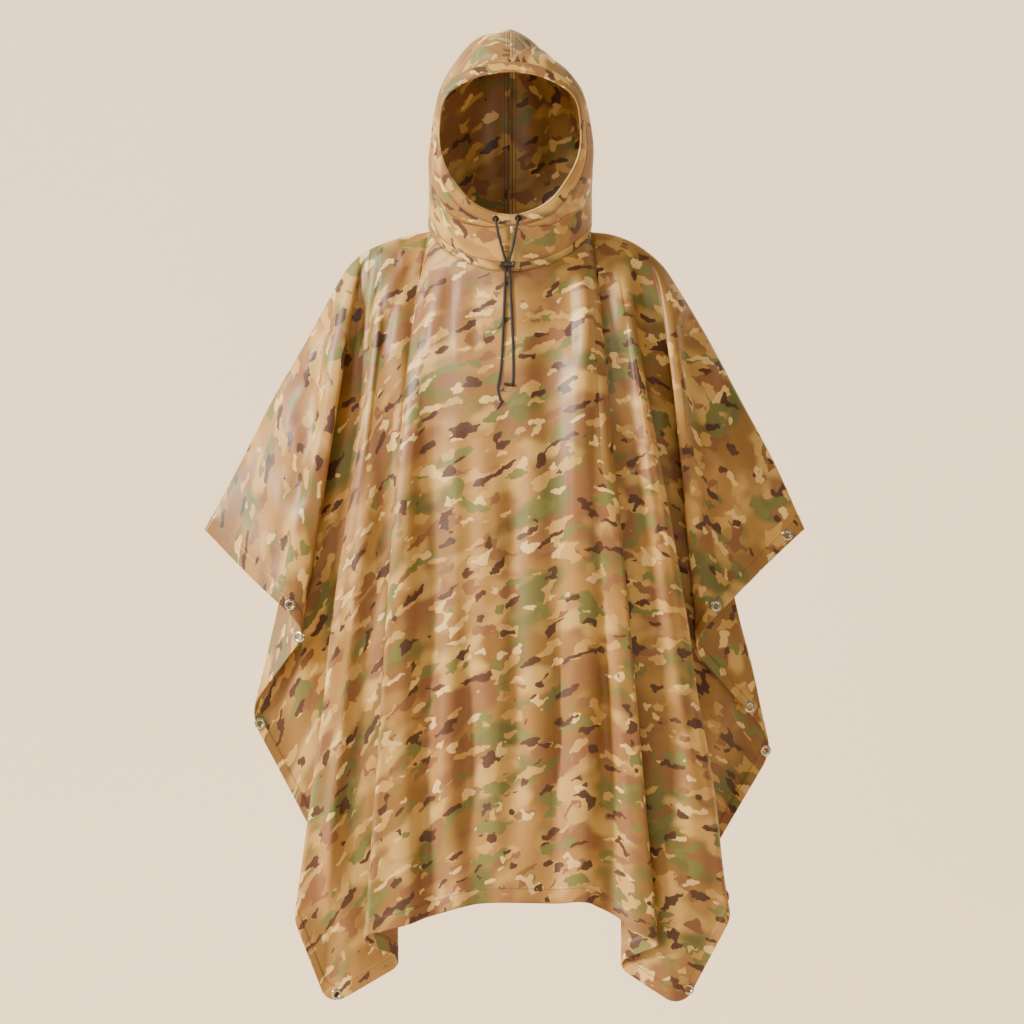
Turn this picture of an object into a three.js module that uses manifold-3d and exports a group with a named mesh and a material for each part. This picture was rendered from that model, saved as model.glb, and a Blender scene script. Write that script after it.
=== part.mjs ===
import * as THREE from 'three';
import { mergeVertices } from 'three/addons/utils/BufferGeometryUtils.js';
import Module from 'manifold-3d';

// Rain poncho with a hood, in the hollow form that it has when it is worn.
// Millimetres, +Z up, and the front faces -Y. The origin lies in the middle of the neck, at the
// height of the shoulder line.

// Driving sizes of the cloth: one wall for a layer, a thicker one for the turned and stitched hem.
const WALL = 2;
const SEAM = 0.3;
const HEM_WIDTH = 25;
const HEM_WALL = 3;
const HEM_STEP = 0.8;

// The neck hole: an oval whose front dips, and how far the cloth turns over at its edges.
const NECK = { halfWidth: 124, front: 95, back: 78, frontZ: -50, sideZ: 17, backZ: 26, ease: 1.5 };
const NECK_TURN = { out: 2, down: 5 };
const RIDGE_TURN = { along: 7, down: 1.8 };
const BAND = { height: 13, lean: 0.2, wall: 2.6, stations: 24 };

// Shoulder and arm line of each side, from the neck to the tip of the sleeve.
const RIDGE = {
  left: [
    { out: 124, up: 17 }, { out: 170, up: 7 }, { out: 217, up: -11 }, { out: 249, up: -36 },
    { out: 272, up: -73 }, { out: 310, up: -143 }, { out: 372, up: -251 }, { out: 423, up: -352 },
    { out: 473, up: -445 },
  ],
  right: [
    { out: 124, up: 17 }, { out: 163, up: 11 }, { out: 202, up: -7 }, { out: 236, up: -35 },
    { out: 257, up: -66 }, { out: 295, up: -128 }, { out: 357, up: -243 }, { out: 411, up: -344 },
    { out: 456, up: -444 },
  ],
};
const ARM_START = 0.25;

// Fold lines of the front, from the left tip to the right one. Each leaves the neck (seam: neck, at
// in degrees) or the shoulder line (seam: left or right, at as a share of it), passes the chest and
// ends at the hem. soft is the length of the rounding of the cloth at the line, and steps its facets.
const foldRow = ([name, seam, at, chest, hem, soft, steps]) => (
  { name, seam, at, chest, hem, soft, steps }
);
const FRONT = [
  ['sleeve_l', 'left', 0.9, [-297, -36, -172], [-411, -30, -507], 40, 2],
  ['crest_l', 'left', 0.83, [-279, -70, -188], [-342, -76, -567], 22, 2],
  ['under_l', 'left', 0.77, [-254, -76, -222], [-313, -68, -604], 24, 3],
  ['outer_l', 'left', 0.68, [-294, -28, -245], [-404, -26, -727], 38, 3],
  ['valley_l', 'left', 0.59, [-216, -66, -280], [-276, -24, -969], 24, 3],
  ['edge_l', 'left', 0.5, [-229, -116, -259], [-333, -112, -1026], 24, 3],
  ['corner_l', 'left', 0.3, [-197, -126, -282], [-278, -122, -1172], 30, 2],
  ['tuck_l', 'left', 0.07, [-157, -117, -290], [-158, -106, -1102], 24, 3],
  ['pleat_l', 'neck', -90, [-168, -135, -290], [-236, -150, -1062], 24, 3],
  ['wave_1', 'neck', -74, [-146, -139, -259], [-181, -155, -1048], 30, 2],
  ['wave_2', 'neck', -56, [-124, -134, -243], [-127, -139, -1032], 24, 2],
  ['wave_3', 'neck', -32, [-65, -143, -243], [-62, -155, -1011], 34, 2],
  ['wave_4', 'neck', -10, [-22, -140, -243], [-20, -145, -1008], 24, 2],
  ['wave_5', 'neck', 9, [19, -143, -243], [19, -153, -1008], 30, 2],
  ['wave_6', 'neck', 32, [65, -138, -243], [70, -141, -1011], 24, 2],
  ['wave_7', 'neck', 52, [104, -139, -243], [115, -152, -1005], 28, 2],
  ['wave_8', 'neck', 66, [126, -132, -243], [149, -135, -1023], 16, 2],
  ['wave_9', 'neck', 79, [143, -136, -259], [192, -153, -1054], 28, 2],
  ['pleat_r', 'neck', 90, [159, -132, -312], [236, -148, -1069], 24, 3],
  ['tuck_r', 'right', 0.06, [148, -114, -305], [157, -105, -1105], 24, 3],
  ['corner_r', 'right', 0.16, [186, -121, -290], [264, -120, -1173], 30, 2],
  ['edge_r', 'right', 0.28, [216, -112, -240], [341, -112, -1026], 24, 3],
  ['valley_r', 'right', 0.47, [203, -66, -282], [298, -22, -969], 24, 3],
  ['outer_r', 'right', 0.64, [285, -28, -243], [411, -26, -774], 38, 3],
  ['under_r', 'right', 0.76, [244, -76, -212], [279, -68, -626], 24, 3],
  ['crest_r', 'right', 0.83, [264, -76, -200], [309, -82, -580], 22, 2],
  ['sleeve_r', 'right', 0.9, [279, -38, -166], [381, -32, -510], 40, 2],
].map(foldRow);

// Fold lines of the back, which the front hides: the same folds, a little shorter.
const BACK = [
  ['sleeve_l', 'left', 0.9, [-297, 36, -170], [-408, 28, -500], 40, 2],
  ['crest_l', 'left', 0.83, [-277, 68, -184], [-345, 72, -552], 22, 2],
  ['under_l', 'left', 0.77, [-252, 70, -216], [-312, 64, -588], 24, 3],
  ['outer_l', 'left', 0.68, [-288, 28, -240], [-385, 26, -700], 38, 3],
  ['valley_l', 'left', 0.59, [-214, 66, -275], [-262, 18, -930], 24, 3],
  ['edge_l', 'left', 0.5, [-227, 112, -255], [-312, 110, -985], 24, 3],
  ['corner_l', 'left', 0.3, [-196, 121, -280], [-258, 118, -1125], 30, 2],
  ['tuck_l', 'left', 0.07, [-158, 112, -285], [-166, 104, -1038], 24, 3],
  ['pleat_l', 'neck', -90, [-168, 129, -285], [-226, 142, -1015], 24, 3],
  ['wave_1', 'neck', -114, [-130, 134, -242], [-165, 149, -985], 34, 2],
  ['wave_2', 'neck', -136, [-86, 128, -238], [-105, 134, -962], 26, 2],
  ['wave_3', 'neck', -160, [-40, 134, -236], [-48, 151, -945], 34, 2],
  ['wave_4', 'neck', 178, [5, 129, -236], [8, 136, -942], 26, 2],
  ['wave_5', 'neck', 158, [48, 134, -236], [62, 151, -948], 34, 2],
  ['wave_6', 'neck', 135, [90, 128, -238], [118, 134, -966], 26, 2],
  ['wave_7', 'neck', 113, [131, 133, -242], [172, 148, -988], 34, 2],
  ['pleat_r', 'neck', 90, [162, 127, -290], [228, 140, -1020], 24, 3],
  ['tuck_r', 'right', 0.07, [150, 110, -288], [168, 102, -1042], 24, 3],
  ['corner_r', 'right', 0.3, [188, 118, -282], [254, 116, -1128], 30, 2],
  ['edge_r', 'right', 0.5, [218, 109, -250], [306, 108, -990], 24, 3],
  ['valley_r', 'right', 0.59, [204, 64, -276], [270, 16, -935], 24, 3],
  ['outer_r', 'right', 0.68, [280, 28, -240], [388, 26, -730], 38, 3],
  ['under_r', 'right', 0.77, [243, 70, -210], [278, 64, -608], 24, 3],
  ['crest_r', 'right', 0.83, [262, 72, -198], [310, 78, -568], 22, 2],
  ['sleeve_r', 'right', 0.9, [278, 36, -165], [382, 30, -500], 40, 2],
].map(foldRow);

// Shares of a fold line's length, from the turned top edge to the upper line of the hem, that give
// the rows of the wall, and the longest part of a span that a fold's rounding may take.
const ROW_SHARES = [0.07, 0.16, 0.27, 0.4, 0.57, 0.78, 1];
const ROUNDING_LIMIT = 0.46;
const LINE_DIVISIONS = 600;

// The hood: the tunnel round the face by stations from the chin to the forehead, and the hood's
// widest line and back seam by ribs from the collar to the forehead.
const FACE = [
  { face: [0, -113, 36], seam: [0, -111, 18] },
  { face: [54, -112, 54], seam: [63, -106, 38] },
  { face: [85, -109, 90], seam: [99, -99, 79] },
  { face: [104, -106, 129], seam: [115, -92, 123] },
  { face: [107, -104, 175], seam: [114, -88, 176] },
  { face: [97, -103, 215], seam: [105, -88, 224] },
  { face: [60, -104, 241], seam: [66, -94, 256] },
  { face: [0, -105, 253], seam: [0, -97, 270] },
];
const HOOD_RIBS = [
  { side: [127, 0, 30], back: [82, 39] },
  { side: [127, -2, 52], back: [93, 68] },
  { side: [127, -4, 74], back: [102, 98] },
  { side: [126, -6, 96], back: [108, 128] },
  { side: [125, -8, 124], back: [113, 160] },
  { side: [121, -11, 158], back: [114, 196] },
  { side: [116, -15, 195], back: [106, 240] },
  { side: [103, -22, 240], back: [74, 292] },
  { side: [74, -30, 280], back: [10, 333] },
  { side: [37, -60, 298], back: [-45, 309] },
  { side: [2.5, -95.5, 272], back: [-93, 274] },
];
const THROAT_SHARE = 0.2;
const HOOD_ROWS = 15;
const HOOD_COLUMNS = 12;
const ROUND = 0.5523;
const TUNNEL = { stations: 24, wall: 5.2, seamWall: 2 };

// Drawcord: its two free ends come out of the eyelets, pass the lock and hang down the chest, each
// to a knot with a short tail.
const CORD = { diameter: 4, sides: 8, steps: 40 };
const CORD_ENDS = [
  {
    name: 'left',
    eyelet: [-22, 29],
    route: [
      [-22, -113.4, 29], [-22, -116.6, 29], [-21.7, -120.4, 26.6], [-20.6, -121.4, 20.5],
      [-18, -118.4, 7], [-14.2, -113.8, -8], [-10.2, -109.4, -22], [-7.2, -106, -32],
      [-6.5, -105, -40], [-6.7, -103.4, -49], [-7.2, -101.6, -58], [-7.6, -103.4, -68],
      [-8.2, -108.4, -83], [-9, -114.6, -103], [-10, -121.2, -127], [-11.2, -128, -156],
      [-12.6, -134.4, -184], [-14.4, -138.6, -205], [-17, -141.2, -220], [-18.4, -142.6, -231],
      [-16.6, -143.8, -241], [-14.8, -144.4, -246],
    ],
    knot: [-12.8, -145.2, -251],
    tail: [-20.5, -146.6, -263.5],
  },
  {
    name: 'right',
    eyelet: [12, 30],
    route: [
      [12, -114.2, 30], [12, -117.4, 30], [11.7, -121.2, 27.6], [10.8, -122.2, 21.5],
      [8.4, -119.2, 8], [5.4, -114.6, -7], [2, -110.2, -21], [-0.6, -106.6, -31.4],
      [-1.1, -105, -40], [-0.9, -103.4, -49], [-0.4, -101.8, -58], [0.1, -103.6, -68],
      [0.8, -108.8, -84], [1.8, -115, -104], [3, -121.6, -128], [4.2, -128.4, -157],
      [4.9, -134.6, -184], [5, -138.2, -201], [4.6, -140.8, -217],
    ],
    knot: [3.4, -142.6, -223.5],
    tail: [-9.4, -143, -222.5],
  },
];
const CORD_EYELET = { outer: 5, hole: 2.6, front: 2.2, back: -1.4, facets: 12 };
const KNOT = { width: 8.6, height: 7.4, tail: 3.8 };
const LOCK = {
  centre: [-3.8, -105, -39.5], length: 22.5, height: 9.5, depth: 12,
  cap: 3.6, waist: 0.9, hole: 2.4, slot: 1.6,
};

// Ring eyelets of the hem: on which panel, after which fold line, and the share of the way to the
// next one. Each is a tube with a collar on both sides of the cloth.
const RING = { outer: 8.5, hole: 4, tube: 5.2, collar: 1, facets: 8, inset: 12.5, clearance: 0.3 };
const RING_PLACES = [
  { panel: 'front', after: 'crest_l', share: 0.12 },
  { panel: 'front', after: 'under_l', share: 0.14 },
  { panel: 'front', after: 'outer_l', share: 0.12 },
  { panel: 'front', after: 'corner_l', share: 0.12 },
  { panel: 'front', after: 'corner_r', share: 0.12 },
  { panel: 'front', after: 'edge_r', share: 0.2 },
  { panel: 'front', after: 'valley_r', share: 0.88 },
  { panel: 'front', after: 'outer_r', share: 0.3 },
  { panel: 'front', after: 'crest_r', share: 0.1 },
  { panel: 'front', after: 'sleeve_r', share: 0.7 },
  { panel: 'back', after: 'crest_l', share: 0.2 },
  { panel: 'back', after: 'outer_l', share: 0.14 },
  { panel: 'back', after: 'corner_l', share: 0.12 },
  { panel: 'back', after: 'corner_r', share: 0.12 },
  { panel: 'back', after: 'outer_r', share: 0.35 },
  { panel: 'back', after: 'crest_r', share: 0.2 },
];

const UP = new THREE.Vector3(0, 0, 1);
const vector = (values) => new THREE.Vector3(...values);
const radians = (degrees) => THREE.MathUtils.degToRad(degrees);

const cloth = new THREE.MeshStandardMaterial({ color: 0xa58a5e, roughness: 0.62, metalness: 0 });
const darkCloth = new THREE.MeshStandardMaterial({ color: 0x8d744c, roughness: 0.66, metalness: 0 });
const cordMaterial = new THREE.MeshStandardMaterial({ color: 0x17181a, roughness: 0.75, metalness: 0 });
const lockMaterial = new THREE.MeshStandardMaterial({ color: 0x1d2023, roughness: 0.45, metalness: 0 });
const ringMaterial = new THREE.MeshStandardMaterial({ color: 0xb9b6ae, roughness: 0.3, metalness: 1 });

const wasm = await Module();
wasm.setup();

function neckPoint(angle) {
  const ahead = Math.cos(angle);
  const reach = ahead > 0 ? NECK.front : NECK.back;
  const endZ = ahead > 0 ? NECK.frontZ : NECK.backZ;
  const dip = Math.abs(ahead) ** NECK.ease;
  return new THREE.Vector3(
    NECK.halfWidth * Math.sin(angle),
    -reach * ahead,
    NECK.sideZ + (endZ - NECK.sideZ) * dip,
  );
}

function neckFacing(angle) {
  const reach = Math.cos(angle) > 0 ? NECK.front : NECK.back;
  return new THREE.Vector3(Math.sin(angle) / NECK.halfWidth, -Math.cos(angle) / reach, 0).normalize();
}

// The shoulder and arm line as a curve in the plane between front and back.
function ridgeCurve(side) {
  const sign = side === 'left' ? -1 : 1;
  const points = RIDGE[side].map(({ out, up }) => new THREE.Vector3(sign * out, 0, up));
  const curve = new THREE.CatmullRomCurve3(points, false, 'centripetal');
  curve.arcLengthDivisions = LINE_DIVISIONS;
  return curve;
}

const ridges = { left: ridgeCurve('left'), right: ridgeCurve('right') };

function ridgeFacing(side, share) {
  const along = ridges[side].getTangentAt(share);
  const facing = new THREE.Vector3(-along.z, 0, along.x);
  return facing.z < 0 ? facing.negate() : facing;
}

// Where a fold line leaves the top edge of a panel, the way the cloth faces there, and the short
// turn with which it leaves the seam. fore is -1 for the front panel and 1 for the back one.
function topOfLine(row, fore) {
  const overRidge = new THREE.Vector3(0, fore * RIDGE_TURN.along, -RIDGE_TURN.down);
  if (row.seam !== 'neck') {
    const share = row.at * ARM_START;
    const start = ridges[row.seam].getPointAt(share);
    start.y = (fore * SEAM) / 2;
    return { start, facing: ridgeFacing(row.seam, share), turn: overRidge };
  }
  const angle = radians(row.at);
  const start = neckPoint(angle);
  start.z -= SEAM;
  const facing = neckFacing(angle);
  const turn = facing.clone().multiplyScalar(NECK_TURN.out).addScaledVector(UP, -NECK_TURN.down);
  if (Math.abs(row.at) === 90) {
    start.y = (fore * SEAM) / 2;
    turn.add(overRidge);
  }
  return { start, facing, turn };
}

function smoothCurve(points) {
  const curve = new THREE.CatmullRomCurve3(points, false, 'centripetal');
  curve.arcLengthDivisions = LINE_DIVISIONS;
  return curve;
}

function foldLine(row, fore) {
  const { start, facing, turn } = topOfLine(row, fore);
  const curve = smoothCurve([start, start.clone().add(turn), vector(row.chest), vector(row.hem)]);
  return { name: row.name, curve, turn: turn.length(), facing, soft: row.soft, steps: row.steps };
}

// The arm line itself, and the line beside it where the cloth has rolled over to this panel.
function armLines(side, fore) {
  const shares = [0, 0.08, 0.25, 0.5, 0.75, 1];
  const onArm = (share) => ARM_START + share * (1 - ARM_START);
  const ridge = shares.map((share) => {
    const point = ridges[side].getPointAt(onArm(share));
    point.y = (fore * SEAM) / 2;
    return point;
  });
  const roll = ridge.map((point, i) => {
    const facing = ridgeFacing(side, onArm(shares[i]));
    const beside = point.clone().addScaledVector(facing, -RIDGE_TURN.down);
    beside.y = fore * RIDGE_TURN.along;
    return beside;
  });
  const { start, facing } = topOfLine({ seam: side, at: 0.96 }, fore);
  roll[0] = start;
  const suffix = side === 'left' ? 'l' : 'r';
  return {
    roll: {
      name: `roll_${suffix}`, curve: smoothCurve(roll), turn: RIDGE_TURN.along, facing, soft: 4, steps: 2,
    },
    ridge: {
      name: `ridge_${suffix}`, curve: smoothCurve(ridge), turn: RIDGE_TURN.along, side,
      facing: ridgeFacing(side, ARM_START),
    },
  };
}

function panelLines(rows, fore) {
  const left = armLines('left', fore);
  const right = armLines('right', fore);
  const folds = rows.map((row) => foldLine(row, fore));
  return [left.ridge, left.roll, ...folds, right.roll, right.ridge];
}

// The points of all lines at one row, given as a share of the length down to the hem or as a
// distance from the free edge.
function pointsOfRow(lines, { share = 1, fromEdge = HEM_WIDTH }) {
  return lines.map(({ curve, turn }) => {
    const length = curve.getLength();
    const reach = share < 1 ? turn + share * (length - HEM_WIDTH - turn) : length - fromEdge;
    return curve.getPointAt(THREE.MathUtils.clamp(reach / length, 0, 1));
  });
}

// Rounding of a row at one line: a circular arc from one neighbouring span to the other.
function roundedPoints(before, point, after, { soft, steps }) {
  const spans = [before, after].map((other) => other.clone().sub(point));
  const reach = Math.min(soft, ...spans.map((span) => ROUNDING_LIMIT * span.length()));
  const pull = Math.sin(spans[0].angleTo(spans[1]) / 2);
  const [start, end] = spans.map((span) => point.clone().addScaledVector(span.normalize(), reach));
  return Array.from({ length: steps + 1 }, (_, k) => {
    const t = k / steps;
    const weights = [(1 - t) ** 2, 2 * pull * t * (1 - t), t ** 2];
    const sum = start.clone().multiplyScalar(weights[0]);
    sum.addScaledVector(point, weights[1]).addScaledVector(end, weights[2]);
    return sum.divideScalar(weights[0] + weights[1] + weights[2]);
  });
}

// One row of the wall: straight spans between the lines, with each line rounded off.
function roundedRow(points, lines) {
  const inner = lines.slice(1, -1).flatMap((line, i) => (
    roundedPoints(points[i], points[i + 1], points[i + 2], line)));
  return [points[0], ...inner, points.at(-1)];
}

// Facing of the cloth at each point of its middle surface, turned to the given outside.
function facings(grid, outside) {
  const last = grid.length - 1;
  return grid.map((row, r) => row.map((point, c) => {
    const down = grid[Math.min(r + 1, last)][c].clone().sub(grid[Math.max(r - 1, 0)][c]);
    const across = row[Math.min(c + 1, row.length - 1)].clone().sub(row[Math.max(c - 1, 0)]);
    return down.cross(across).normalize().multiplyScalar(outside);
  }));
}

// A closed wall between an outer and an inner grid. A ring's rows close on themselves.
function wallGeometry(outer, inner, ring = false) {
  const rows = outer.length;
  const columns = outer[0].length;
  const vertices = [...outer.flat(), ...inner.flat()];
  const triangles = [];
  const at = (side, r, c) => side * rows * columns + r * columns + (c % columns);
  const quad = (a, b, c, d) => {
    const direct = vertices[a].distanceTo(vertices[c]) <= vertices[b].distanceTo(vertices[d]);
    triangles.push(...(direct ? [a, b, c, a, c, d] : [a, b, d, b, c, d]));
  };
  const spans = ring ? columns : columns - 1;
  for (let r = 0; r < rows - 1; r += 1) {
    for (let c = 0; c < spans; c += 1) {
      quad(at(0, r, c), at(0, r + 1, c), at(0, r + 1, c + 1), at(0, r, c + 1));
      quad(at(1, r, c), at(1, r, c + 1), at(1, r + 1, c + 1), at(1, r + 1, c));
    }
  }
  for (let c = 0; c < spans; c += 1) {
    quad(at(0, 0, c), at(0, 0, c + 1), at(1, 0, c + 1), at(1, 0, c));
    quad(at(0, rows - 1, c), at(1, rows - 1, c), at(1, rows - 1, c + 1), at(0, rows - 1, c + 1));
  }
  if (!ring) {
    const last = columns - 1;
    for (let r = 0; r < rows - 1; r += 1) {
      quad(at(0, r, 0), at(1, r, 0), at(1, r + 1, 0), at(0, r + 1, 0));
      quad(at(0, r, last), at(0, r + 1, last), at(1, r + 1, last), at(1, r, last));
    }
  }
  return facingOut(vertices, triangles);
}

// A geometry of the given triangles, turned so that its faces point out.
function facingOut(vertices, triangles) {
  let volume = 0;
  for (let i = 0; i < triangles.length; i += 3) {
    const [a, b, c] = [0, 1, 2].map((k) => vertices[triangles[i + k]]);
    volume += a.dot(b.clone().cross(c));
  }
  const index = volume > 0 ? triangles : triangles.toReversed();
  const geometry = new THREE.BufferGeometry();
  const places = vertices.flatMap((v) => v.toArray());
  geometry.setAttribute('position', new THREE.Float32BufferAttribute(places, 3));
  geometry.setIndex(index);
  return geometry;
}

function toSolid(geometry) {
  const bare = geometry.clone();
  bare.deleteAttribute('normal');
  bare.deleteAttribute('uv');
  const merged = mergeVertices(bare, 1e-4);
  return new wasm.Manifold(new wasm.Mesh({
    numProp: 3,
    vertProperties: Float32Array.from(merged.attributes.position.array),
    triVerts: Uint32Array.from(merged.index.array),
  }));
}

function toGeometry(solid) {
  const mesh = solid.getMesh();
  const geometry = new THREE.BufferGeometry();
  geometry.setAttribute('position', new THREE.Float32BufferAttribute(mesh.vertProperties, 3));
  geometry.setIndex(Array.from(mesh.triVerts));
  return geometry;
}

// A panel's wall. The seams at its top and arm edges face squarely out, so that the neighbouring
// pieces lie edge to edge with them.
function panelGeometry(lines, fore) {
  const topRow = lines.map(({ curve }) => curve.getPoint(0));
  const rows = [
    topRow,
    pointsOfRow(lines, { share: 0 }),
    ...ROW_SHARES.slice(0, -1).map((share) => pointsOfRow(lines, { share })),
    pointsOfRow(lines, { fromEdge: HEM_WIDTH }),
    pointsOfRow(lines, { fromEdge: HEM_WIDTH - HEM_STEP }),
    pointsOfRow(lines, { fromEdge: 0 }),
  ];
  const grid = rows.map((points) => roundedRow(points, lines));
  const facing = facings(grid, -fore);
  facing[0] = [
    lines[0].facing,
    ...lines.slice(1, -1).flatMap(({ facing: way, steps }) => new Array(steps + 1).fill(way)),
    lines.at(-1).facing,
  ];
  for (const [line, column] of [[lines[0], 0], [lines.at(-1), grid[0].length - 1]]) {
    grid.forEach((row, r) => {
      const share = nearestShare(ridges[line.side], row[column]);
      facing[r][column] = ridgeFacing(line.side, share);
    });
  }
  const half = (r) => (r >= grid.length - 2 ? HEM_WALL : WALL) / 2;
  const side = (sign) => grid.map((row, r) => row.map((point, c) => (
    point.clone().addScaledVector(facing[r][c], sign * half(r)))));
  return wallGeometry(side(1), side(-1));
}

// Share of a ridge at the height of a point, found by halving.
function nearestShare(ridge, point) {
  let low = 0;
  let high = 1;
  for (let i = 0; i < 24; i += 1) {
    const middle = (low + high) / 2;
    if (ridge.getPointAt(middle).z > point.z) low = middle;
    else high = middle;
  }
  return (low + high) / 2;
}

// Place of a ring eyelet: a point of the hem between two lines, and the way that the cloth faces.
function ringPlace(lines, { after, share }, fore) {
  const first = lines.findIndex(({ name }) => name === after);
  const pair = lines.slice(first, first + 2);
  const [a, b] = pointsOfRow(pair, { fromEdge: RING.inset });
  const [c, d] = pointsOfRow(pair, { fromEdge: 0 });
  const point = a.clone().lerp(b, share);
  const down = c.clone().lerp(d, share).sub(point);
  const facing = down.cross(b.clone().sub(a)).normalize().multiplyScalar(fore);
  return { point, facing };
}

function ringGeometry({ point, facing }, clearance = 0) {
  const inside = HEM_WALL / 2 + RING.clearance - clearance;
  const outside = HEM_WALL / 2 + RING.clearance + RING.collar + clearance;
  const outer = RING.outer + clearance;
  const tube = RING.tube + clearance;
  const hole = clearance > 0 ? 0 : RING.hole;
  const profile = [
    [hole, -outside], [outer, -outside], [outer, -inside], [tube, -inside],
    [tube, inside], [outer, inside], [outer, outside], [hole, outside],
  ].map(([x, y]) => new THREE.Vector2(x, y));
  if (hole > 0) profile.push(profile[0].clone());
  const geometry = new THREE.LatheGeometry(profile, RING.facets);
  const turn = new THREE.Quaternion().setFromUnitVectors(new THREE.Vector3(0, 1, 0), facing);
  geometry.applyQuaternion(turn);
  geometry.translate(point.x, point.y, point.z);
  return geometry;
}

// The band that joins the hood to the panels: a low ring round the neck.
function bandRow(height) {
  return Array.from({ length: BAND.stations }, (_, i) => {
    const angle = (2 * Math.PI * i) / BAND.stations;
    return bandPoint(angle, height);
  });
}

function bandPoint(angle, height) {
  return neckPoint(angle).addScaledVector(neckFacing(angle), BAND.lean * height).addScaledVector(UP, height);
}

function bandGeometry(clearance = 0) {
  const edge = SEAM / 2 - clearance;
  const heights = [edge, BAND.height / 2, BAND.height - edge];
  const side = (sign) => heights.map((height) => bandRow(height).map((point, i) => {
    const facing = neckFacing((2 * Math.PI * i) / BAND.stations);
    return point.addScaledVector(facing, sign * (BAND.wall / 2 + clearance));
  }));
  return wallGeometry(side(1), side(-1), true);
}

// Closed curve round the face, through the stations of one side and their mirror images.
function faceCurve(edge) {
  const half = FACE.map((station) => vector(station[edge]));
  const mirrored = half.slice(1, -1).reverse().map((v) => new THREE.Vector3(-v.x, v.y, v.z));
  return new THREE.CatmullRomCurve3([...half, ...mirrored], true, 'centripetal');
}

const faceEdge = faceCurve('face');
const tunnelSeam = faceCurve('seam');

// Section of the tunnel from the hood's edge to the face: part of the width, and height above the
// middle surface. It is thin at the seam, where it meets the hood, and round at the face.
function tunnelGeometry(clearance = 0) {
  const full = TUNNEL.wall / 2 + clearance;
  const thin = TUNNEL.seamWall / 2 + clearance;
  const section = [
    [0, thin], [0.14, full * 0.8], [0.5, full], [0.84, full * 0.8], [1, full * 0.1],
    [1, -full * 0.1], [0.84, -full * 0.8], [0.5, -full], [0.14, -full * 0.8], [0, -thin],
  ];
  const vertices = [];
  const triangles = [];
  for (let i = 0; i < TUNNEL.stations; i += 1) {
    const { face, seam, facing } = tunnelStation(i / TUNNEL.stations, SEAM - clearance);
    for (const [part, height] of section) {
      vertices.push(seam.clone().lerp(face, part).addScaledVector(facing, height));
    }
  }
  const sides = section.length;
  for (let i = 0; i < TUNNEL.stations; i += 1) {
    for (let k = 0; k < sides; k += 1) {
      const a = i * sides + k;
      const b = i * sides + ((k + 1) % sides);
      const shift = (((i + 1) % TUNNEL.stations) - i) * sides;
      triangles.push(a, b, b + shift, a, b + shift, a + shift);
    }
  }
  return facingOut(vertices, triangles);
}

function tunnelStation(share, gap = SEAM) {
  const face = faceEdge.getPoint(share);
  const seam = tunnelSeam.getPoint(share);
  const across = face.clone().sub(seam).normalize();
  seam.addScaledVector(across, gap);
  const along = tunnelSeam.getTangent(share);
  const facing = across.cross(along).normalize();
  if (facing.dot(new THREE.Vector3(seam.x, seam.y * 2, seam.z - 145)) < 0) facing.negate();
  return { face, seam, facing };
}

// Front edge of one hood half: up the middle of the throat, then along the tunnel's seam.
const tunnelShare = (level) => Math.max(0, (level - THROAT_SHARE) / (1 - THROAT_SHARE)) / 2;

function hoodFront(level) {
  if (level > THROAT_SHARE) return tunnelSeam.getPoint(tunnelShare(level));
  return bandPoint(0, BAND.height + SEAM / 2).lerp(vector(FACE[0].seam), level / THROAT_SHARE);
}

// The way that the hood faces at its front edge, where it runs on into the tunnel.
const frontFacing = (level) => tunnelStation(tunnelShare(level)).facing;

const hoodSide = smoothCurve(HOOD_RIBS.map((rib) => vector(rib.side)));
const hoodBack = smoothCurve(HOOD_RIBS.map(({ back: [y, z] }) => new THREE.Vector3(0, y, z)));

// A point of the +X hood half: level runs from the collar to the forehead, and across from the
// front edge over the side to the back seam, as two quarter turns.
function hoodPoint(level, across) {
  const front = hoodFront(level);
  const side = hoodSide.getPoint(level);
  const back = hoodBack.getPoint(level);
  const ahead = across < 0.5;
  const end = ahead ? front : back;
  const t = ahead ? 1 - across * 2 : across * 2 - 1;
  const fromSide = side.clone();
  fromSide.y += ROUND * (end.y - side.y);
  fromSide.z += (end.z - side.z) / 3;
  const fromEnd = end.clone();
  if (ahead) {
    const lead = side.clone().sub(end).setZ(0);
    fromEnd.addScaledVector(lead.projectOnPlane(frontFacing(level)), ROUND);
  } else {
    fromEnd.x += ROUND * (side.x - end.x);
    fromEnd.z += (side.z - end.z) / 3;
  }
  return new THREE.CubicBezierCurve3(side, fromSide, fromEnd, end).getPoint(t);
}

function hoodGrid() {
  const band = (across) => bandPoint(Math.PI * across, BAND.height + SEAM / 2);
  const rows = [];
  for (let r = 0; r <= HOOD_ROWS; r += 1) {
    const level = r / HOOD_ROWS;
    const row = [];
    for (let c = 0; c <= HOOD_COLUMNS; c += 1) {
      const across = c / HOOD_COLUMNS;
      const throat = Math.max(0, 1 - level / THROAT_SHARE) ** 2;
      const fit = band(across).sub(hoodPoint(0, across)).multiplyScalar(throat);
      const point = hoodPoint(level, across).add(fit);
      point.x = Math.max(point.x, SEAM / 2);
      row.push(point);
    }
    rows.push(row);
  }
  return rows;
}

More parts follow.
